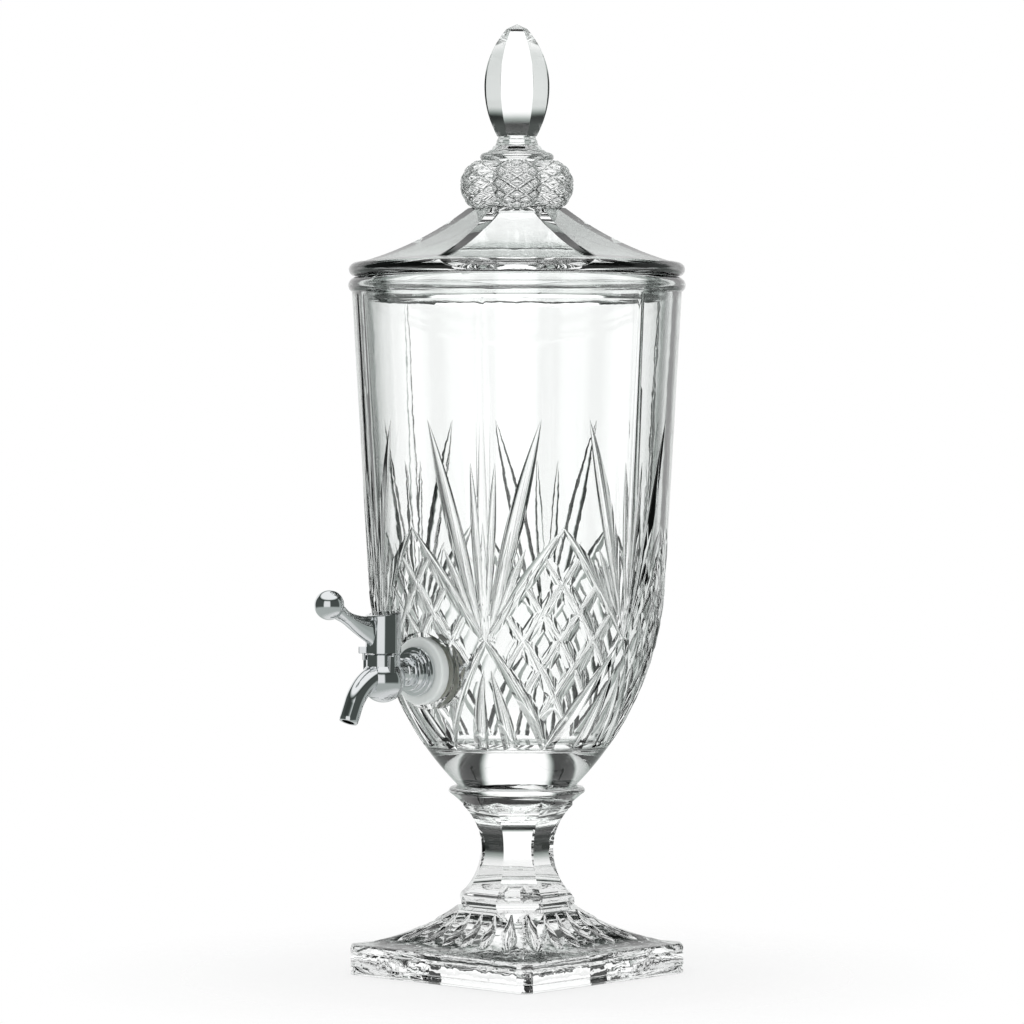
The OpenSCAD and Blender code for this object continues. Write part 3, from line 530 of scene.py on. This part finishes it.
def petals():
    """The cutters of the drop-shaped petals that lie on the flare."""
    steps, proud, blunt = 18, 0.6, 0.3
    z_low, z_high = FOOT_H + 2.4, FLARE_TOP[1] - 0.6
    data = []
    for k in range(PETALS):
        a = (k + 0.5) * 360 / PETALS
        cos_a, sin_a = math.cos(math.radians(a)), math.sin(math.radians(a))
        radial, across = np.array([cos_a, sin_a, 0]), np.array([-sin_a, cos_a, 0])

        def flare_r(z):
            return float(octo(flare_side(z), flare_corner(z))(np.array([a]))[0])
        rings = []
        for i in range(steps + 1):
            t = i / steps
            z = mix(z_high, z_low, t)
            r = flare_r(z)
            out = unit(np.array([0.2, flare_r(z - 0.2) - r]))
            swell = petal_swell(t)
            depth = 0.15 + PETAL_DEPTH * swell
            w = PETAL_SHARE * math.pi * r / PETALS * (0.2 + 0.8 * swell)
            section = []
            for q in np.linspace(-1, 1, 9):
                rise = (math.sqrt(q * q + blunt * blunt) - blunt) / (math.sqrt(1 + blunt * blunt) - blunt)
                h = proud if abs(q) == 1 else -depth * (1 - rise)
                up = np.array([0, 0, z + out[1] * h])
                section.append(radial * (r + out[0] * h) + across * q * w + up)
            rings.append(section)
        data.append(loft(rings))
    return solid("petals", joined(data))


def pedestal_mesh():
    """The foot plate with two fine grooves round its edge, the flare, bead, stem and collar."""
    rings = []
    for z, inset in ((0.0, 1.2), (0.3, 0.35), (1.1, 0.0), (3.6, 0.0), (4.4, 0.35), (5.2, 0.0), (10.6, 0.0),
                     (11.5, 0.5), (12.4, 0.0), (FOOT_H - FOOT_BEVEL, 0.0)):
        rings.append(plan_ring(FOOT_HALF - inset, FOOT_DIAG - inset, z))
    for a in (30, 60):
        t = math.radians(a)
        inset = FOOT_BEVEL * (1 - math.cos(t))
        rings.append(plan_ring(FOOT_HALF - inset, FOOT_DIAG - inset, FOOT_H - FOOT_BEVEL * (1 - math.sin(t))))
    for t in np.linspace(0, 1, 26):
        z = FOOT_H + (FLARE_TOP[1] - FOOT_H) * t ** 1.7
        rings.append(plan_ring(flare_side(z), flare_corner(z), z))
    first = FLARE_TOP[1] + 0.02
    for z in np.concatenate([FLARE_TOP[1] + BEAD_H / 2 * (1 - np.cos(np.linspace(0.06, math.pi - 0.3, 22))),
                             np.linspace(FLARE_TOP[1] + BEAD_H + 0.3, BOWL_Z - COLLAR_H - 0.1, 30),
                             np.linspace(BOWL_Z - COLLAR_H, BOWL_Z - 0.4, 26)]):
        w = stem_half(max(z, first))
        z_cap = BOWL_Z - COLLAR_EDGE - 3
        if z > z_cap:
            w = stem_half(z_cap)
        rings.append(plan_ring(w, w, z, round_r=collar_r(z)))
    top_r = 31.2
    rings.append(plan_ring(top_r * COS8, top_r * COS8, BOWL_Z, round_r=top_r))
    body = solid("pedestal_glass", loft(rings))
    return boolean(body, [petals()])


def glass_body():
    """The pedestal and the bowl, fused at their joint."""
    bowl = bowl_mesh()
    foot = pedestal_mesh()
    weld_r, weld_low, weld_high = 30.4, BOWL_Z - 4, BOWL_Z + 0.6
    profile = [(0.01, weld_low), (weld_r, weld_low), (weld_r, weld_high), (0.01, weld_high)]
    plug = solid("weld", lathe(profile, 96))
    boolean(bowl, [foot, plug], "UNION")
    return bowl


# ---------------------------------------------------------------- lid and finial
LID_R, LID_RIM_H, LID_RING_OUT, LID_RING_T = 88.5, 7.4, 79.3, 4.5
DOME_BASE, DOME_NECK, DOME_RISE, DOME_SAG, DOME_T = 73.0, 22.0, 29.0, 3.2, 6.0
LOBE_R, LOBE_RING_R, LOBE_H = 13.6, 18.8, 25.0
DIAMOND, DIAMOND_DEPTH = 27, 1.6      # diamonds on the lobes: degrees across, and mm deep
LID_TOP_Z = LID_Z + LID_RIM_H
DOME_TOP_Z = LID_TOP_Z + DOME_RISE
KNOB_Z = DOME_TOP_Z - 1
KNOB_TOP_Z = KNOB_Z + LOBE_H
DISC_Z = KNOB_TOP_Z + 0.3
COS6 = math.cos(math.radians(30))
ROUND = 360


def hexagon(half):
    def radius(angles):
        m = np.mod(angles - 30, 60)
        return half / np.cos(np.radians(np.abs(m - 30)))
    return radius


def knob_radius(z):
    """Six lobes round a core, each lobe with diamond points pressed into it."""
    def radius(angles):
        best = np.full(len(angles), LOBE_RING_R * 0.86)
        dz = z - KNOB_Z - LOBE_H / 2
        flat = LOBE_R ** 2 - dz ** 2
        for k in range(6):
            d = np.radians(np.mod(angles - k * 60 + 180, 360) - 180)
            off = LOBE_RING_R * np.sin(d)
            hit = flat - off ** 2
            edge = LOBE_RING_R * np.cos(d) + np.sqrt(np.maximum(hit, 0))
            reach = np.where((hit > 0) & (np.abs(d) < 1.2), edge, 0)
            east = np.degrees(np.arcsin(np.clip(off / LOBE_R, -1, 1)))
            north = math.degrees(math.asin(max(-1, min(1, dz / LOBE_R))))
            u, v = (east + north) / DIAMOND + 0.5, (east - north) / DIAMOND + 0.5
            groove = np.maximum(np.abs(np.mod(u, 1) - 0.5), np.abs(np.mod(v, 1) - 0.5)) * 2
            reach = np.where(reach > 0, reach - DIAMOND_DEPTH * groove ** 4, 0)
            best = np.maximum(best, reach)
        return best
    return radius


def larger(f, g):
    return lambda angles: np.maximum(f(angles), g(angles))


def dome_half(z):
    return hollow_x((DOME_BASE, LID_TOP_Z), (DOME_NECK, DOME_TOP_Z), DOME_SAG, z)


def lid_mesh():
    """The lid in one loft: the six-sided hollow, locating ring, rim, dome and knob."""
    turn = LID_TURN - 90
    mouth = LID_RING_OUT - LID_RING_T
    hollow_low = ((mouth - 0.4) * COS6, LID_TOP_Z - DOME_T)
    hollow_top = (DOME_NECK - DOME_T, DOME_TOP_Z - DOME_T)
    rings = [ring(0.01, hollow_top[1], ROUND, turn)]
    for t in np.linspace(1, 0, 18):
        r, z = mix(hollow_low[0], hollow_top[0], t), mix(hollow_low[1], hollow_top[1], t)
        rings.append(ring(hexagon(r), z - DOME_SAG * 4 * t * (1 - t), ROUND, turn))
    foot_z = LID_Z - LID_RING_D
    section = [(mouth, hollow_low[1]), (mouth, foot_z + 2.4), (mouth + 0.3, foot_z + 1.9),
               (mouth + 1.7, foot_z + 0.1),
               (LID_RING_OUT - 1.7, foot_z), (LID_RING_OUT - 0.3, foot_z + 1.9), (LID_RING_OUT, foot_z + 2.4),
               (LID_RING_OUT, LID_Z)]
    section += arc((LID_R - LID_RIM_H / 2, LID_Z + LID_RIM_H / 2), LID_RIM_H / 2, -90, 90, 20)
    rings += [ring(r, z, ROUND, turn) for r, z in section]
    for t in np.linspace(0, 1, 24):
        z = mix(LID_TOP_Z + 0.02, KNOB_Z, t)
        rings.append(ring(hexagon(dome_half(z)), z, ROUND, turn))
    for z in np.linspace(KNOB_Z + 0.15, KNOB_TOP_Z, 80):
        shape = knob_radius(z)
        if z < DOME_TOP_Z:
            shape = larger(shape, hexagon(dome_half(z)))
        rings.append(ring(shape, z, ROUND, turn))
    rings.append(ring(12.0, KNOB_TOP_Z, ROUND, turn))
    return solid("lid_glass", loft(rings))


def finial_mesh():
    """The finial in one loft: disc, stepped neck and six-sided spire."""
    turn = LID_TURN - 90
    disc_r, disc_h, neck_r, neck_h = 19.4, 4.4, 10.5, 9.0
    low_h, spire_r = 26.0, 17.1
    neck_z = DISC_Z + disc_h
    spire_z = neck_z + neck_h
    wide_z = spire_z + low_h
    half = spire_r * COS6
    step = (spire_r - neck_r) * COS6
    low_rho = (low_h ** 2 + step ** 2) / (2 * step)
    high_rho = 50.0
    base_z = KNOB_TOP_Z - 0.4
    profile = [(disc_r - disc_h / 2 - 1.5, base_z), (disc_r - disc_h / 2, DISC_Z)]
    profile += arc((disc_r - disc_h / 2, DISC_Z + disc_h / 2), disc_h / 2, -80, 88, 16)
    profile += [(disc_r - 3.4, neck_z + 0.1), (disc_r - 4.2, neck_z + 0.9), (disc_r - 4.9, neck_z + 1.4),
                (disc_r - 6.2, neck_z + 1.5), (disc_r - 6.5, neck_z + 2.6), (disc_r - 6.9, neck_z + 3.4),
                (neck_r + 0.9, neck_z + 3.9), (neck_r + 0.4, neck_z + 5.2), (neck_r + 0.2, neck_z + 6.5),
                (neck_r - 0.4, neck_z + 7.3), (neck_r - 0.6, neck_z + 8.0), (neck_r - 0.6, spire_z - 0.4)]
    rings = [ring(0.01, base_z, ROUND, turn)] + [ring(r, z, ROUND, turn) for r, z in profile]
    for z in np.linspace(spire_z - 0.2, wide_z, 30):
        w = half - low_rho + math.sqrt(low_rho ** 2 - (z - wide_z) ** 2)
        rings.append(ring(hexagon(w), z, ROUND, turn))
    for t in np.linspace(0.03, 1, 44):
        z = mix(wide_z, TOP_Z, 1 - (1 - t) ** 1.3)
        w = half - high_rho + math.sqrt(high_rho ** 2 - (z - wide_z) ** 2)
        shoulder = TOP_Z - half / 2
        w = min(w, half * (TOP_Z - z) / (TOP_Z - shoulder)) if z > shoulder else w
        rings.append(ring(hexagon(max(w, 0.02)), z, ROUND, turn))
    return solid("finial_glass", loft(rings))


def glass_lid():
    lid = lid_mesh()
    boolean(lid, [finial_mesh()], "UNION")
    return lid


# ---------------------------------------------------------------- tap
FLANGE_Y = -low("outer_washer")[1]
VALVE_Y = SEAT_Y + 31.0
CHAMBER_R, COLLAR2_R = 11.4, 8.8
CHAMBER_Z = TAP_Z - 3.5
COLLAR_TOP_Z = TAP_Z + 9.9
PORT_Z = TAP_Z - 0.8
SLEEVE_R, SLEEVE_H, TOP_SLOPE = 9.2, 20.6, math.radians(7.5)
SLEEVE_Z = COLLAR_TOP_Z + 0.3
BEND_STEPS = 40
BEND_R, SPOUT_R, SPOUT_ROOT_R, SPOUT_BORE, SPOUT_TURN, SPOUT_TIP = 23.5, 5.0, 6.4, 3.3, math.radians(66), 9.8


def along_tap(profile, count=120):
    """A lathe about the tap's own horizontal axis: the profile is (radius, distance from the bowl's axis)."""
    a = np.arange(count) * 2 * math.pi / count
    return loft([[(r * math.cos(t), -y, TAP_Z + r * math.sin(t)) for t in a] for r, y in profile])


def at_valve(data, z=0.0):
    points, faces = data
    return [(p[0], p[1] - VALVE_Y, p[2] + z) for p in points], faces


def sweep(path, frames, section):
    """A closed section swept along points, each with its two cross directions."""
    rings = []
    for i, (p, (u, v)) in enumerate(zip(path, frames)):
        rings.append([p + u * s[0] + v * s[1] for s in section(i)])
    return loft(rings)


def spout_path(extra=0.0, start=0.0):
    """The spout's middle line: an arc forward and down, and then a straight tip."""
    centre = np.array([0, -VALVE_Y, PORT_Z - BEND_R])
    x = np.array([1.0, 0, 0])
    path, frames = [], []
    for a in np.linspace(start, SPOUT_TURN, BEND_STEPS):
        out = np.array([0, -math.sin(a), math.cos(a)])
        path.append(centre + BEND_R * out)
        frames.append((x, out))
    ahead = np.array([0, -math.cos(SPOUT_TURN), -math.sin(SPOUT_TURN)])
    bend_end, last_frame = path[-1], frames[-1]
    for t in np.linspace(0.1, 1, 10):
        path.append(bend_end + ahead * (SPOUT_TIP + extra) * t)
        frames.append(last_frame)
    return path, frames


def tap_body_mesh():
    """The fixed body: shank to chamber, collar with its stops, and the bored spout."""
    y = FLANGE_Y
    # radius and distance: shank, flange, stepped ring, neck with its moulding
    stack = [(4.2, y - 27), (7.3, y - 27), (7.8, y - 26.5), (7.8, y + 0.02), (12.2, y + 0.02),
             (12.8, y + 0.6), (12.8, y + 2.3), (12.5, y + 3.0), (11.8, y + 3.3), (10.8, y + 3.5),
             (10.5, y + 4.1), (9.4, y + 4.3), (9.3, y + 4.9), (9.8, y + 5.4), (9.8, y + 7.0),
             (9.5, y + 7.9), (8.8, y + 8.3), (7.4, y + 8.4), (6.9, y + 8.8), (6.7, y + 9.6),
             (6.7, y + 11.2), (7.2, y + 11.6), (7.2, y + 12.8), (6.7, y + 13.2),
             (6.7, VALVE_Y - 3), (4.2, VALVE_Y - 3)]
    body = solid("tap_chrome", along_tap(stack))
    sphere = [(0.01, -CHAMBER_R)] + arc((0, 0), CHAMBER_R, -89, 60, 60)
    sphere = [p for p in sphere if p[0] >= 0] + [(0.01, CHAMBER_R * math.sin(math.radians(60)))]
    chamber = at_valve(lathe(sphere, 128), CHAMBER_Z)
    collar = [(0.01, -2), (COLLAR2_R, -2), (COLLAR2_R, COLLAR_TOP_Z - CHAMBER_Z - 0.4),
              (COLLAR2_R - 0.4, COLLAR_TOP_Z - CHAMBER_Z), (0.01, COLLAR_TOP_Z - CHAMBER_Z)]
    tools = [solid("chamber", chamber), solid("collar", at_valve(lathe(collar, 128), CHAMBER_Z))]
    path, frames = spout_path()
    circle = np.radians(np.arange(64) * 360 / 64)
    last = len(path) - 1

    def tube(i):
        r = mix(SPOUT_ROOT_R, SPOUT_R, min(1, i / (BEND_STEPS - 1))) if i < last else SPOUT_R - 0.35
        return [(r * math.cos(t), r * math.sin(t)) for t in circle]
    tools.append(solid("spout", sweep(path, frames, tube)))
    for turn in LUG_TURNS:
        tools.append(solid("lug", lug(turn)))
    boolean(body, tools, "UNION")
    bore_path, bore_frames = spout_path(1.0, math.radians(24))
    round_bore = [(SPOUT_BORE * math.cos(t), SPOUT_BORE * math.sin(t)) for t in circle]
    bore = solid("bore", sweep(bore_path, bore_frames, lambda i: round_bore))
    cap_seam = [(7.3, -20), (7.6, -20), (7.6, -8.2), (7.3, -8.2)]
    seam = solid("seam", at_valve(lathe(cap_seam, 96, closed=True), CHAMBER_Z))
    return boolean(body, [bore, seam])


STOP_W, TOOTH_W, STOP_R = 3.4, 4.4, COLLAR2_R + 1.8
TOOTH_TURN, TRAVEL = -44.0, 90.0
STOP_HALF = math.degrees(math.asin(STOP_W / 2 / STOP_R) + math.asin(TOOTH_W / 2 / COLLAR2_R)) + 1.0
LUG_TURNS = (TOOTH_TURN - STOP_HALF, TOOTH_TURN + TRAVEL + STOP_HALF)


def rounded_box(lo, hi, r):
    """A box with its upright edges rounded and its ends bevelled."""
    corners = [(hi[0] - r, hi[1] - r, 0), (lo[0] + r, hi[1] - r, 90),
               (lo[0] + r, lo[1] + r, 180), (hi[0] - r, lo[1] + r, 270)]
    outline = [(cx + r * math.cos(math.radians(a + s)), cy + r * math.sin(math.radians(a + s)))
               for cx, cy, s in corners for a in np.linspace(0, 90, 5)]
    rings = []
    for z, inset in ((lo[2], r * 0.6), (lo[2] + r * 0.6, 0), (hi[2] - r * 0.6, 0), (hi[2], r * 0.6)):
        mid = np.mean(outline, axis=0)
        scale = [1 - inset / (hi[k] - lo[k]) * 2 for k in (0, 1)]
        rings.append([(mid[0] + (x - mid[0]) * scale[0], mid[1] + (y - mid[1]) * scale[1], z)
                      for x, y in outline])
    return loft(rings)


def about_z(points, degrees):
    """Points turned about the Z axis."""
    c, s = math.cos(math.radians(degrees)), math.sin(math.radians(degrees))
    return [(p[0] * c - p[1] * s, p[0] * s + p[1] * c, p[2]) for p in points]


def lug(turn):
    """One of the two stops on the tap's collar."""
    data = rounded_box((-STOP_W / 2, -STOP_R, 0), (STOP_W / 2, -5, COLLAR_TOP_Z - 0.4 - CHAMBER_Z), 0.7)
    return at_valve((about_z(data[0], turn), data[1]), CHAMBER_Z)


def handle_mesh():
    """The sleeve with its sloping top, the ball-ended lever and the stop tooth."""
    count = 128
    slant = math.tan(TOP_SLOPE)
    a = np.arange(count) * 2 * math.pi / count

    def level(r, drop, top):
        """A ring of the sleeve; top rings follow the sloping top."""
        return [(r * math.cos(t), r * math.sin(t) - VALVE_Y,
                 SLEEVE_Z + (SLEEVE_H - drop + r * math.sin(t) * slant if top else drop)) for t in a]
    rings = [level(0.01, 0, False), level(SLEEVE_R - 0.3, 0, False), level(SLEEVE_R, 0.3, False)]
    for inset, drop in ((0.0, 0.7), (0.25, 0.2), (0.8, 0.0), (2.2, 0.0), (2.45, 0.35), (2.7, 0.0)):
        rings.append(level(SLEEVE_R - inset, drop, True))
    rings.append(level(0.01, 0.0, True))
    body = solid("handle_chrome", loft(rings))
    tools = [solid("lever", lever_data())]
    ball = np.array(BALL) + np.array([0, -VALVE_Y, SLEEVE_Z])
    globe = [(0.01, -BALL_R)] + arc((0, 0), BALL_R, -87, 87, 48) + [(0.01, BALL_R)]
    points, faces = lathe(globe, 96)
    tools.append(solid("ball", ([tuple(np.array(p) + ball) for p in points], faces)))
    for lo, hi, z in (((-TOOTH_W / 2, -SLEEVE_R - 3.4, 0), (TOOTH_W / 2, -SLEEVE_R + 1.6, 3.6), SLEEVE_Z),
                      ((-TOOTH_W / 2, -STOP_R, 0), (TOOTH_W / 2, -COLLAR2_R - 0.3, 3.6), SLEEVE_Z - 3.4)):
        points, faces = rounded_box(lo, hi, 0.5)
        tools.append(solid("tooth", at_valve((about_z(points, TOOTH_TURN), faces), z)))
    return boolean(body, tools, "UNION")


BALL, BALL_R = (0.0, -39.0, 25.8), 7.6


def lever_data():
    """The lever: a deep narrow blade at the sleeve that turns into a round neck behind the ball."""
    start = np.array([0, -SLEEVE_R + 1.5, SLEEVE_H - 8.6])
    bend = np.array([0, -SLEEVE_R - 12, SLEEVE_H - 6.0])
    end = np.array(BALL) + np.array([0, 2.0, -0.6])
    path, frames, sizes = [], [], []
    x = np.array([1.0, 0, 0])
    for t in np.linspace(0, 1, 40):
        p = (1 - t) ** 2 * start + 2 * t * (1 - t) * bend + t * t * end
        ahead = unit(2 * (1 - t) * (bend - start) + 2 * t * (end - bend))
        path.append(p + np.array([0, -VALVE_Y, SLEEVE_Z]))
        frames.append((x, np.cross(x, ahead)))
        ease = t * t * (3 - 2 * t)
        tall = mix(8.0, 3.5, min(1.0, t / 0.62) ** 0.75) + max(0.0, t - 0.72) * 5
        wide = mix(3.0, 3.5, ease) + max(0.0, t - 0.72) * 5
        sizes.append((wide, tall))
    circle = np.radians(np.arange(48) * 360 / 48)

    def oval(i):
        return [(sizes[i][0] * math.cos(t), sizes[i][1] * math.sin(t)) for t in circle]
    return sweep(path, frames, oval)


# ---------------------------------------------------------------- washers
def washer(name, node, r, hole, edge, sink):
    """A soft washer with rounded edges, pressed a hair into the glass: sink is positive for the outer one."""
    y0, y1 = -high(node)[1], -low(node)[1]
    y0, y1 = (y0 - sink, y1) if sink > 0 else (y0, y1 - sink)
    quarter = np.linspace(0, math.pi / 2, 8)
    profile = [(hole, y0)]
    profile += [(r - edge + edge * math.sin(t), y0 + edge - edge * math.cos(t)) for t in quarter]
    profile += [(r - edge + edge * math.cos(t), y1 - edge + edge * math.sin(t)) for t in quarter]
    profile += [(hole, y1)]
    a = np.arange(120) * 2 * math.pi / 120
    rings = [[(q * math.cos(t), -y, TAP_Z + q * math.sin(t)) for t in a] for q, y in profile]
    return solid(name, loft(rings, True))


# ---------------------------------------------------------------- the object
finish(glass_body(), "base", GLASS, ("pedestal", "bowl", "bowl_bond"), 24)
finish(glass_lid(), "lid", LID_GLASS, ("lid", "finial", "finial_bond"), 24)
finish(tap_body_mesh(), "base", CHROME, ("tap_body", "chamber_cap"), 34)
finish(handle_mesh(), "handle", CHROME, ("tap_handle", "handle_cap"), 34)
finish(washer("outer_washer_soft", "outer_washer", 17.5, 7.9, 1.2, 0.05), "base", OUTER_SILICONE,
       ("outer_washer",), 40)
finish(washer("inner_washer_soft", "inner_washer", 15.5, 7.9, 0.8, -0.05), "base", INNER_SILICONE,
       ("inner_washer",), 40)
CARRIED = {"flat_washer": STEEL, "lock_nut": CHROME, "valve_plug": ACETAL, "plug_ring_upper": RUBBER,
           "plug_ring_lower": RUBBER, "stem_ring": RUBBER, "handle_screw": STEEL}
for node, material in CARRIED.items():
    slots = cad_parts[node].data.materials
    slots.clear()
    slots.append(material)


# ---------------------------------------------------------------- stage, light and camera
def node_maths(nodes, links):
    """Two shorthands for a node tree: one sum or product, and one smooth step between two levels."""
    def sum_node(operation, a, b=0.0):
        node = nodes.new("ShaderNodeMath")
        node.operation = operation
        for k, v in enumerate((a, b)):
            if isinstance(v, (int, float)):
                node.inputs[k].default_value = v
            else:
                links.new(v, node.inputs[k])
        return node.outputs[0]

    def smooth(value, start, end, low_value, high_value):
        node = nodes.new("ShaderNodeMapRange")
        node.interpolation_type = "SMOOTHSTEP"
        node.inputs["From Min"].default_value = start
        node.inputs["From Max"].default_value = end
        node.inputs["To Min"].default_value = low_value
        node.inputs["To Max"].default_value = high_value
        links.new(value, node.inputs["Value"])
        return node.outputs["Result"]
    return sum_node, smooth


def mix_shaders(nodes, links, share, first, second):
    node = nodes.new("ShaderNodeMixShader")
    links.new(share, node.inputs["Fac"])
    links.new(first.outputs[0], node.inputs[1])
    links.new(second.outputs[0], node.inputs[2])
    return node


def stage_floor():
    """A pale floor that keeps a soft shadow near the object and ends in white a little further out."""
    floor_z, glow_share, fade_start, fade_end = -0.02, 0.74, 0.11, 0.26
    points, faces = loft([ring(r, floor_z, 96) for r in (0.01, 450, 9000)])
    mesh = bpy.data.meshes.new("floor")
    mesh.from_pydata([tuple(c * MM for c in p) for p in points], [], faces[:-2])
    floor = bpy.data.objects.new("floor", mesh)
    bpy.context.scene.collection.objects.link(floor)
    material = bpy.data.materials.new("pale_floor")
    material.use_nodes = True
    nodes, links = material.node_tree.nodes, material.node_tree.links
    nodes.clear()
    sum_node, smooth = node_maths(nodes, links)
    diffuse = nodes.new("ShaderNodeBsdfDiffuse")
    diffuse.inputs["Color"].default_value = (0.92, 0.92, 0.92, 1)
    glow = nodes.new("ShaderNodeEmission")
    glow.inputs["Color"].default_value = (1, 1, 1, 1)
    clear = nodes.new("ShaderNodeBsdfTransparent")
    coords = nodes.new("ShaderNodeTexCoord")
    length = nodes.new("ShaderNodeVectorMath")
    length.operation = "LENGTH"
    links.new(coords.outputs["Object"], length.inputs[0])
    path = nodes.new("ShaderNodeLightPath")
    share = sum_node("MULTIPLY", sum_node("SUBTRACT", 1.0, path.outputs["Is Diffuse Ray"]), glow_share)
    lit = mix_shaders(nodes, links, share, diffuse, glow)
    far = smooth(length.outputs["Value"], fade_start, fade_end, 0.0, 1.0)
    out = nodes.new("ShaderNodeOutputMaterial")
    links.new(mix_shaders(nodes, links, far, lit, clear).outputs[0], out.inputs["Surface"])
    floor.data.materials.append(material)


def studio_world():
    """White to the camera, and a plain level for diffuse light.

    Through glass: eight upright white panels, whose dark gaps turn pale below the horizon. In a mirror: a
    soft box, a dimmer one across from it, the panel behind and a bright top.
    """
    world = bpy.data.worlds.new("studio")
    bpy.context.scene.world = world
    world.use_nodes = True
    nodes, links = world.node_tree.nodes, world.node_tree.links
    nodes.clear()
    sum_node, smooth = node_maths(nodes, links)
    coords = nodes.new("ShaderNodeTexCoord")
    split = nodes.new("ShaderNodeSeparateXYZ")
    links.new(coords.outputs["Generated"], split.inputs[0])
    x, y, z = split.outputs
    azimuth = sum_node("ARCTAN2", y, x)

    def panel(middle, inner, outer, level=1.0, every=360):
        """An upright panel: its level up to the inner angle from its middle, nothing beyond the outer one."""
        from_middle = sum_node("SUBTRACT", azimuth, math.radians(middle))
        turns = sum_node("DIVIDE", from_middle, math.radians(every))
        off = sum_node("ABSOLUTE", sum_node("SUBTRACT", turns, sum_node("ROUND", turns)))
        return smooth(off, inner / every, outer / every, level, 0.0)
    behind, soft_box, dim_box = 132.4, 298.4, 68.4
    wall = sum_node("ADD", panel(behind, 13, 19, 1.1, 90), panel(behind + 45, 9, 14, 0.85, 90))
    wall = sum_node("MAXIMUM", wall, smooth(z, -0.26, -0.10, 0.42, 0.015))
    wall = sum_node("MULTIPLY", wall, smooth(z, 0.28, 0.42, 1.0, 0.0))
    over = sum_node("ADD", smooth(z, 0.42, 0.55, 0.0, 0.04), smooth(z, 0.80, 0.86, 0.0, 1.6))
    under = smooth(z, -0.8, -0.4, 0.45, 0.0)
    through = sum_node("ADD", sum_node("ADD", wall, over), under)
    boxes = sum_node("ADD", panel(soft_box, 20, 30), panel(dim_box, 24, 34, 0.4))
    boxes = sum_node("MAXIMUM", sum_node("ADD", boxes, panel(behind, 46, 56)), 0.04)
    boxes = sum_node("MULTIPLY", boxes, smooth(z, 0.45, 0.6, 1.0, 0.0))
    boxes = sum_node("MULTIPLY", boxes, smooth(z, -0.3, -0.1, 0.0, 1.0))
    ends = sum_node("ADD", smooth(z, 0.6, 0.75, 0.06, 1.2), smooth(z, -0.3, -0.1, 0.5, 0.0))
    mirror = sum_node("ADD", boxes, ends)
    path = nodes.new("ShaderNodeLightPath")
    bent = path.outputs["Is Transmission Ray"]
    seen = sum_node("ADD", sum_node("MULTIPLY", bent, through),
                    sum_node("MULTIPLY", sum_node("SUBTRACT", 1.0, bent), mirror))
    studio = nodes.new("ShaderNodeBackground")
    links.new(colour_ramp(nodes, links, sum_node("MINIMUM", seen, 1.0), (0.86, 1.0, 0.93), (1, 1, 1)),
              studio.inputs["Color"])
    links.new(seen, studio.inputs["Strength"])
    soft = nodes.new("ShaderNodeBackground")
    soft.inputs["Color"].default_value = (1, 1, 1, 1)
    soft.inputs["Strength"].default_value = 0.9
    white = nodes.new("ShaderNodeBackground")
    white.inputs["Color"].default_value = (1, 1, 1, 1)
    lit = mix_shaders(nodes, links, path.outputs["Is Diffuse Ray"], studio, soft)
    out = nodes.new("ShaderNodeOutputWorld")
    seen_by_all = mix_shaders(nodes, links, path.outputs["Is Camera Ray"], lit, white)
    links.new(seen_by_all.outputs[0], out.inputs["Surface"])


def camera():
    """At the photographed angle: round from the tap as far as the lid is turned, a little above the bowl's
    middle and far off, so that the sides hardly converge. Metres."""
    azimuth, distance, height = math.radians(LID_TURN), 2.29, 0.287
    aim_height, aim_left = 0.2435, 0.0026
    aim = Vector((0, 0, aim_height)) + Vector((-math.cos(azimuth), -math.sin(azimuth), 0)) * aim_left
    place = Vector((math.sin(azimuth) * distance, -math.cos(azimuth) * distance, height))
    data = bpy.data.cameras.new("camera")
    data.sensor_width = 36
    data.lens = 152.8
    data.clip_end = 100
    obj = bpy.data.objects.new("camera", data)
    bpy.context.scene.collection.objects.link(obj)
    obj.location = place
    obj.rotation_euler = (aim - place).to_track_quat("-Z", "Y").to_euler()
    bpy.context.scene.camera = obj


stage_floor()
studio_world()
camera()
bpy.context.scene.view_settings.view_transform = "Standard"
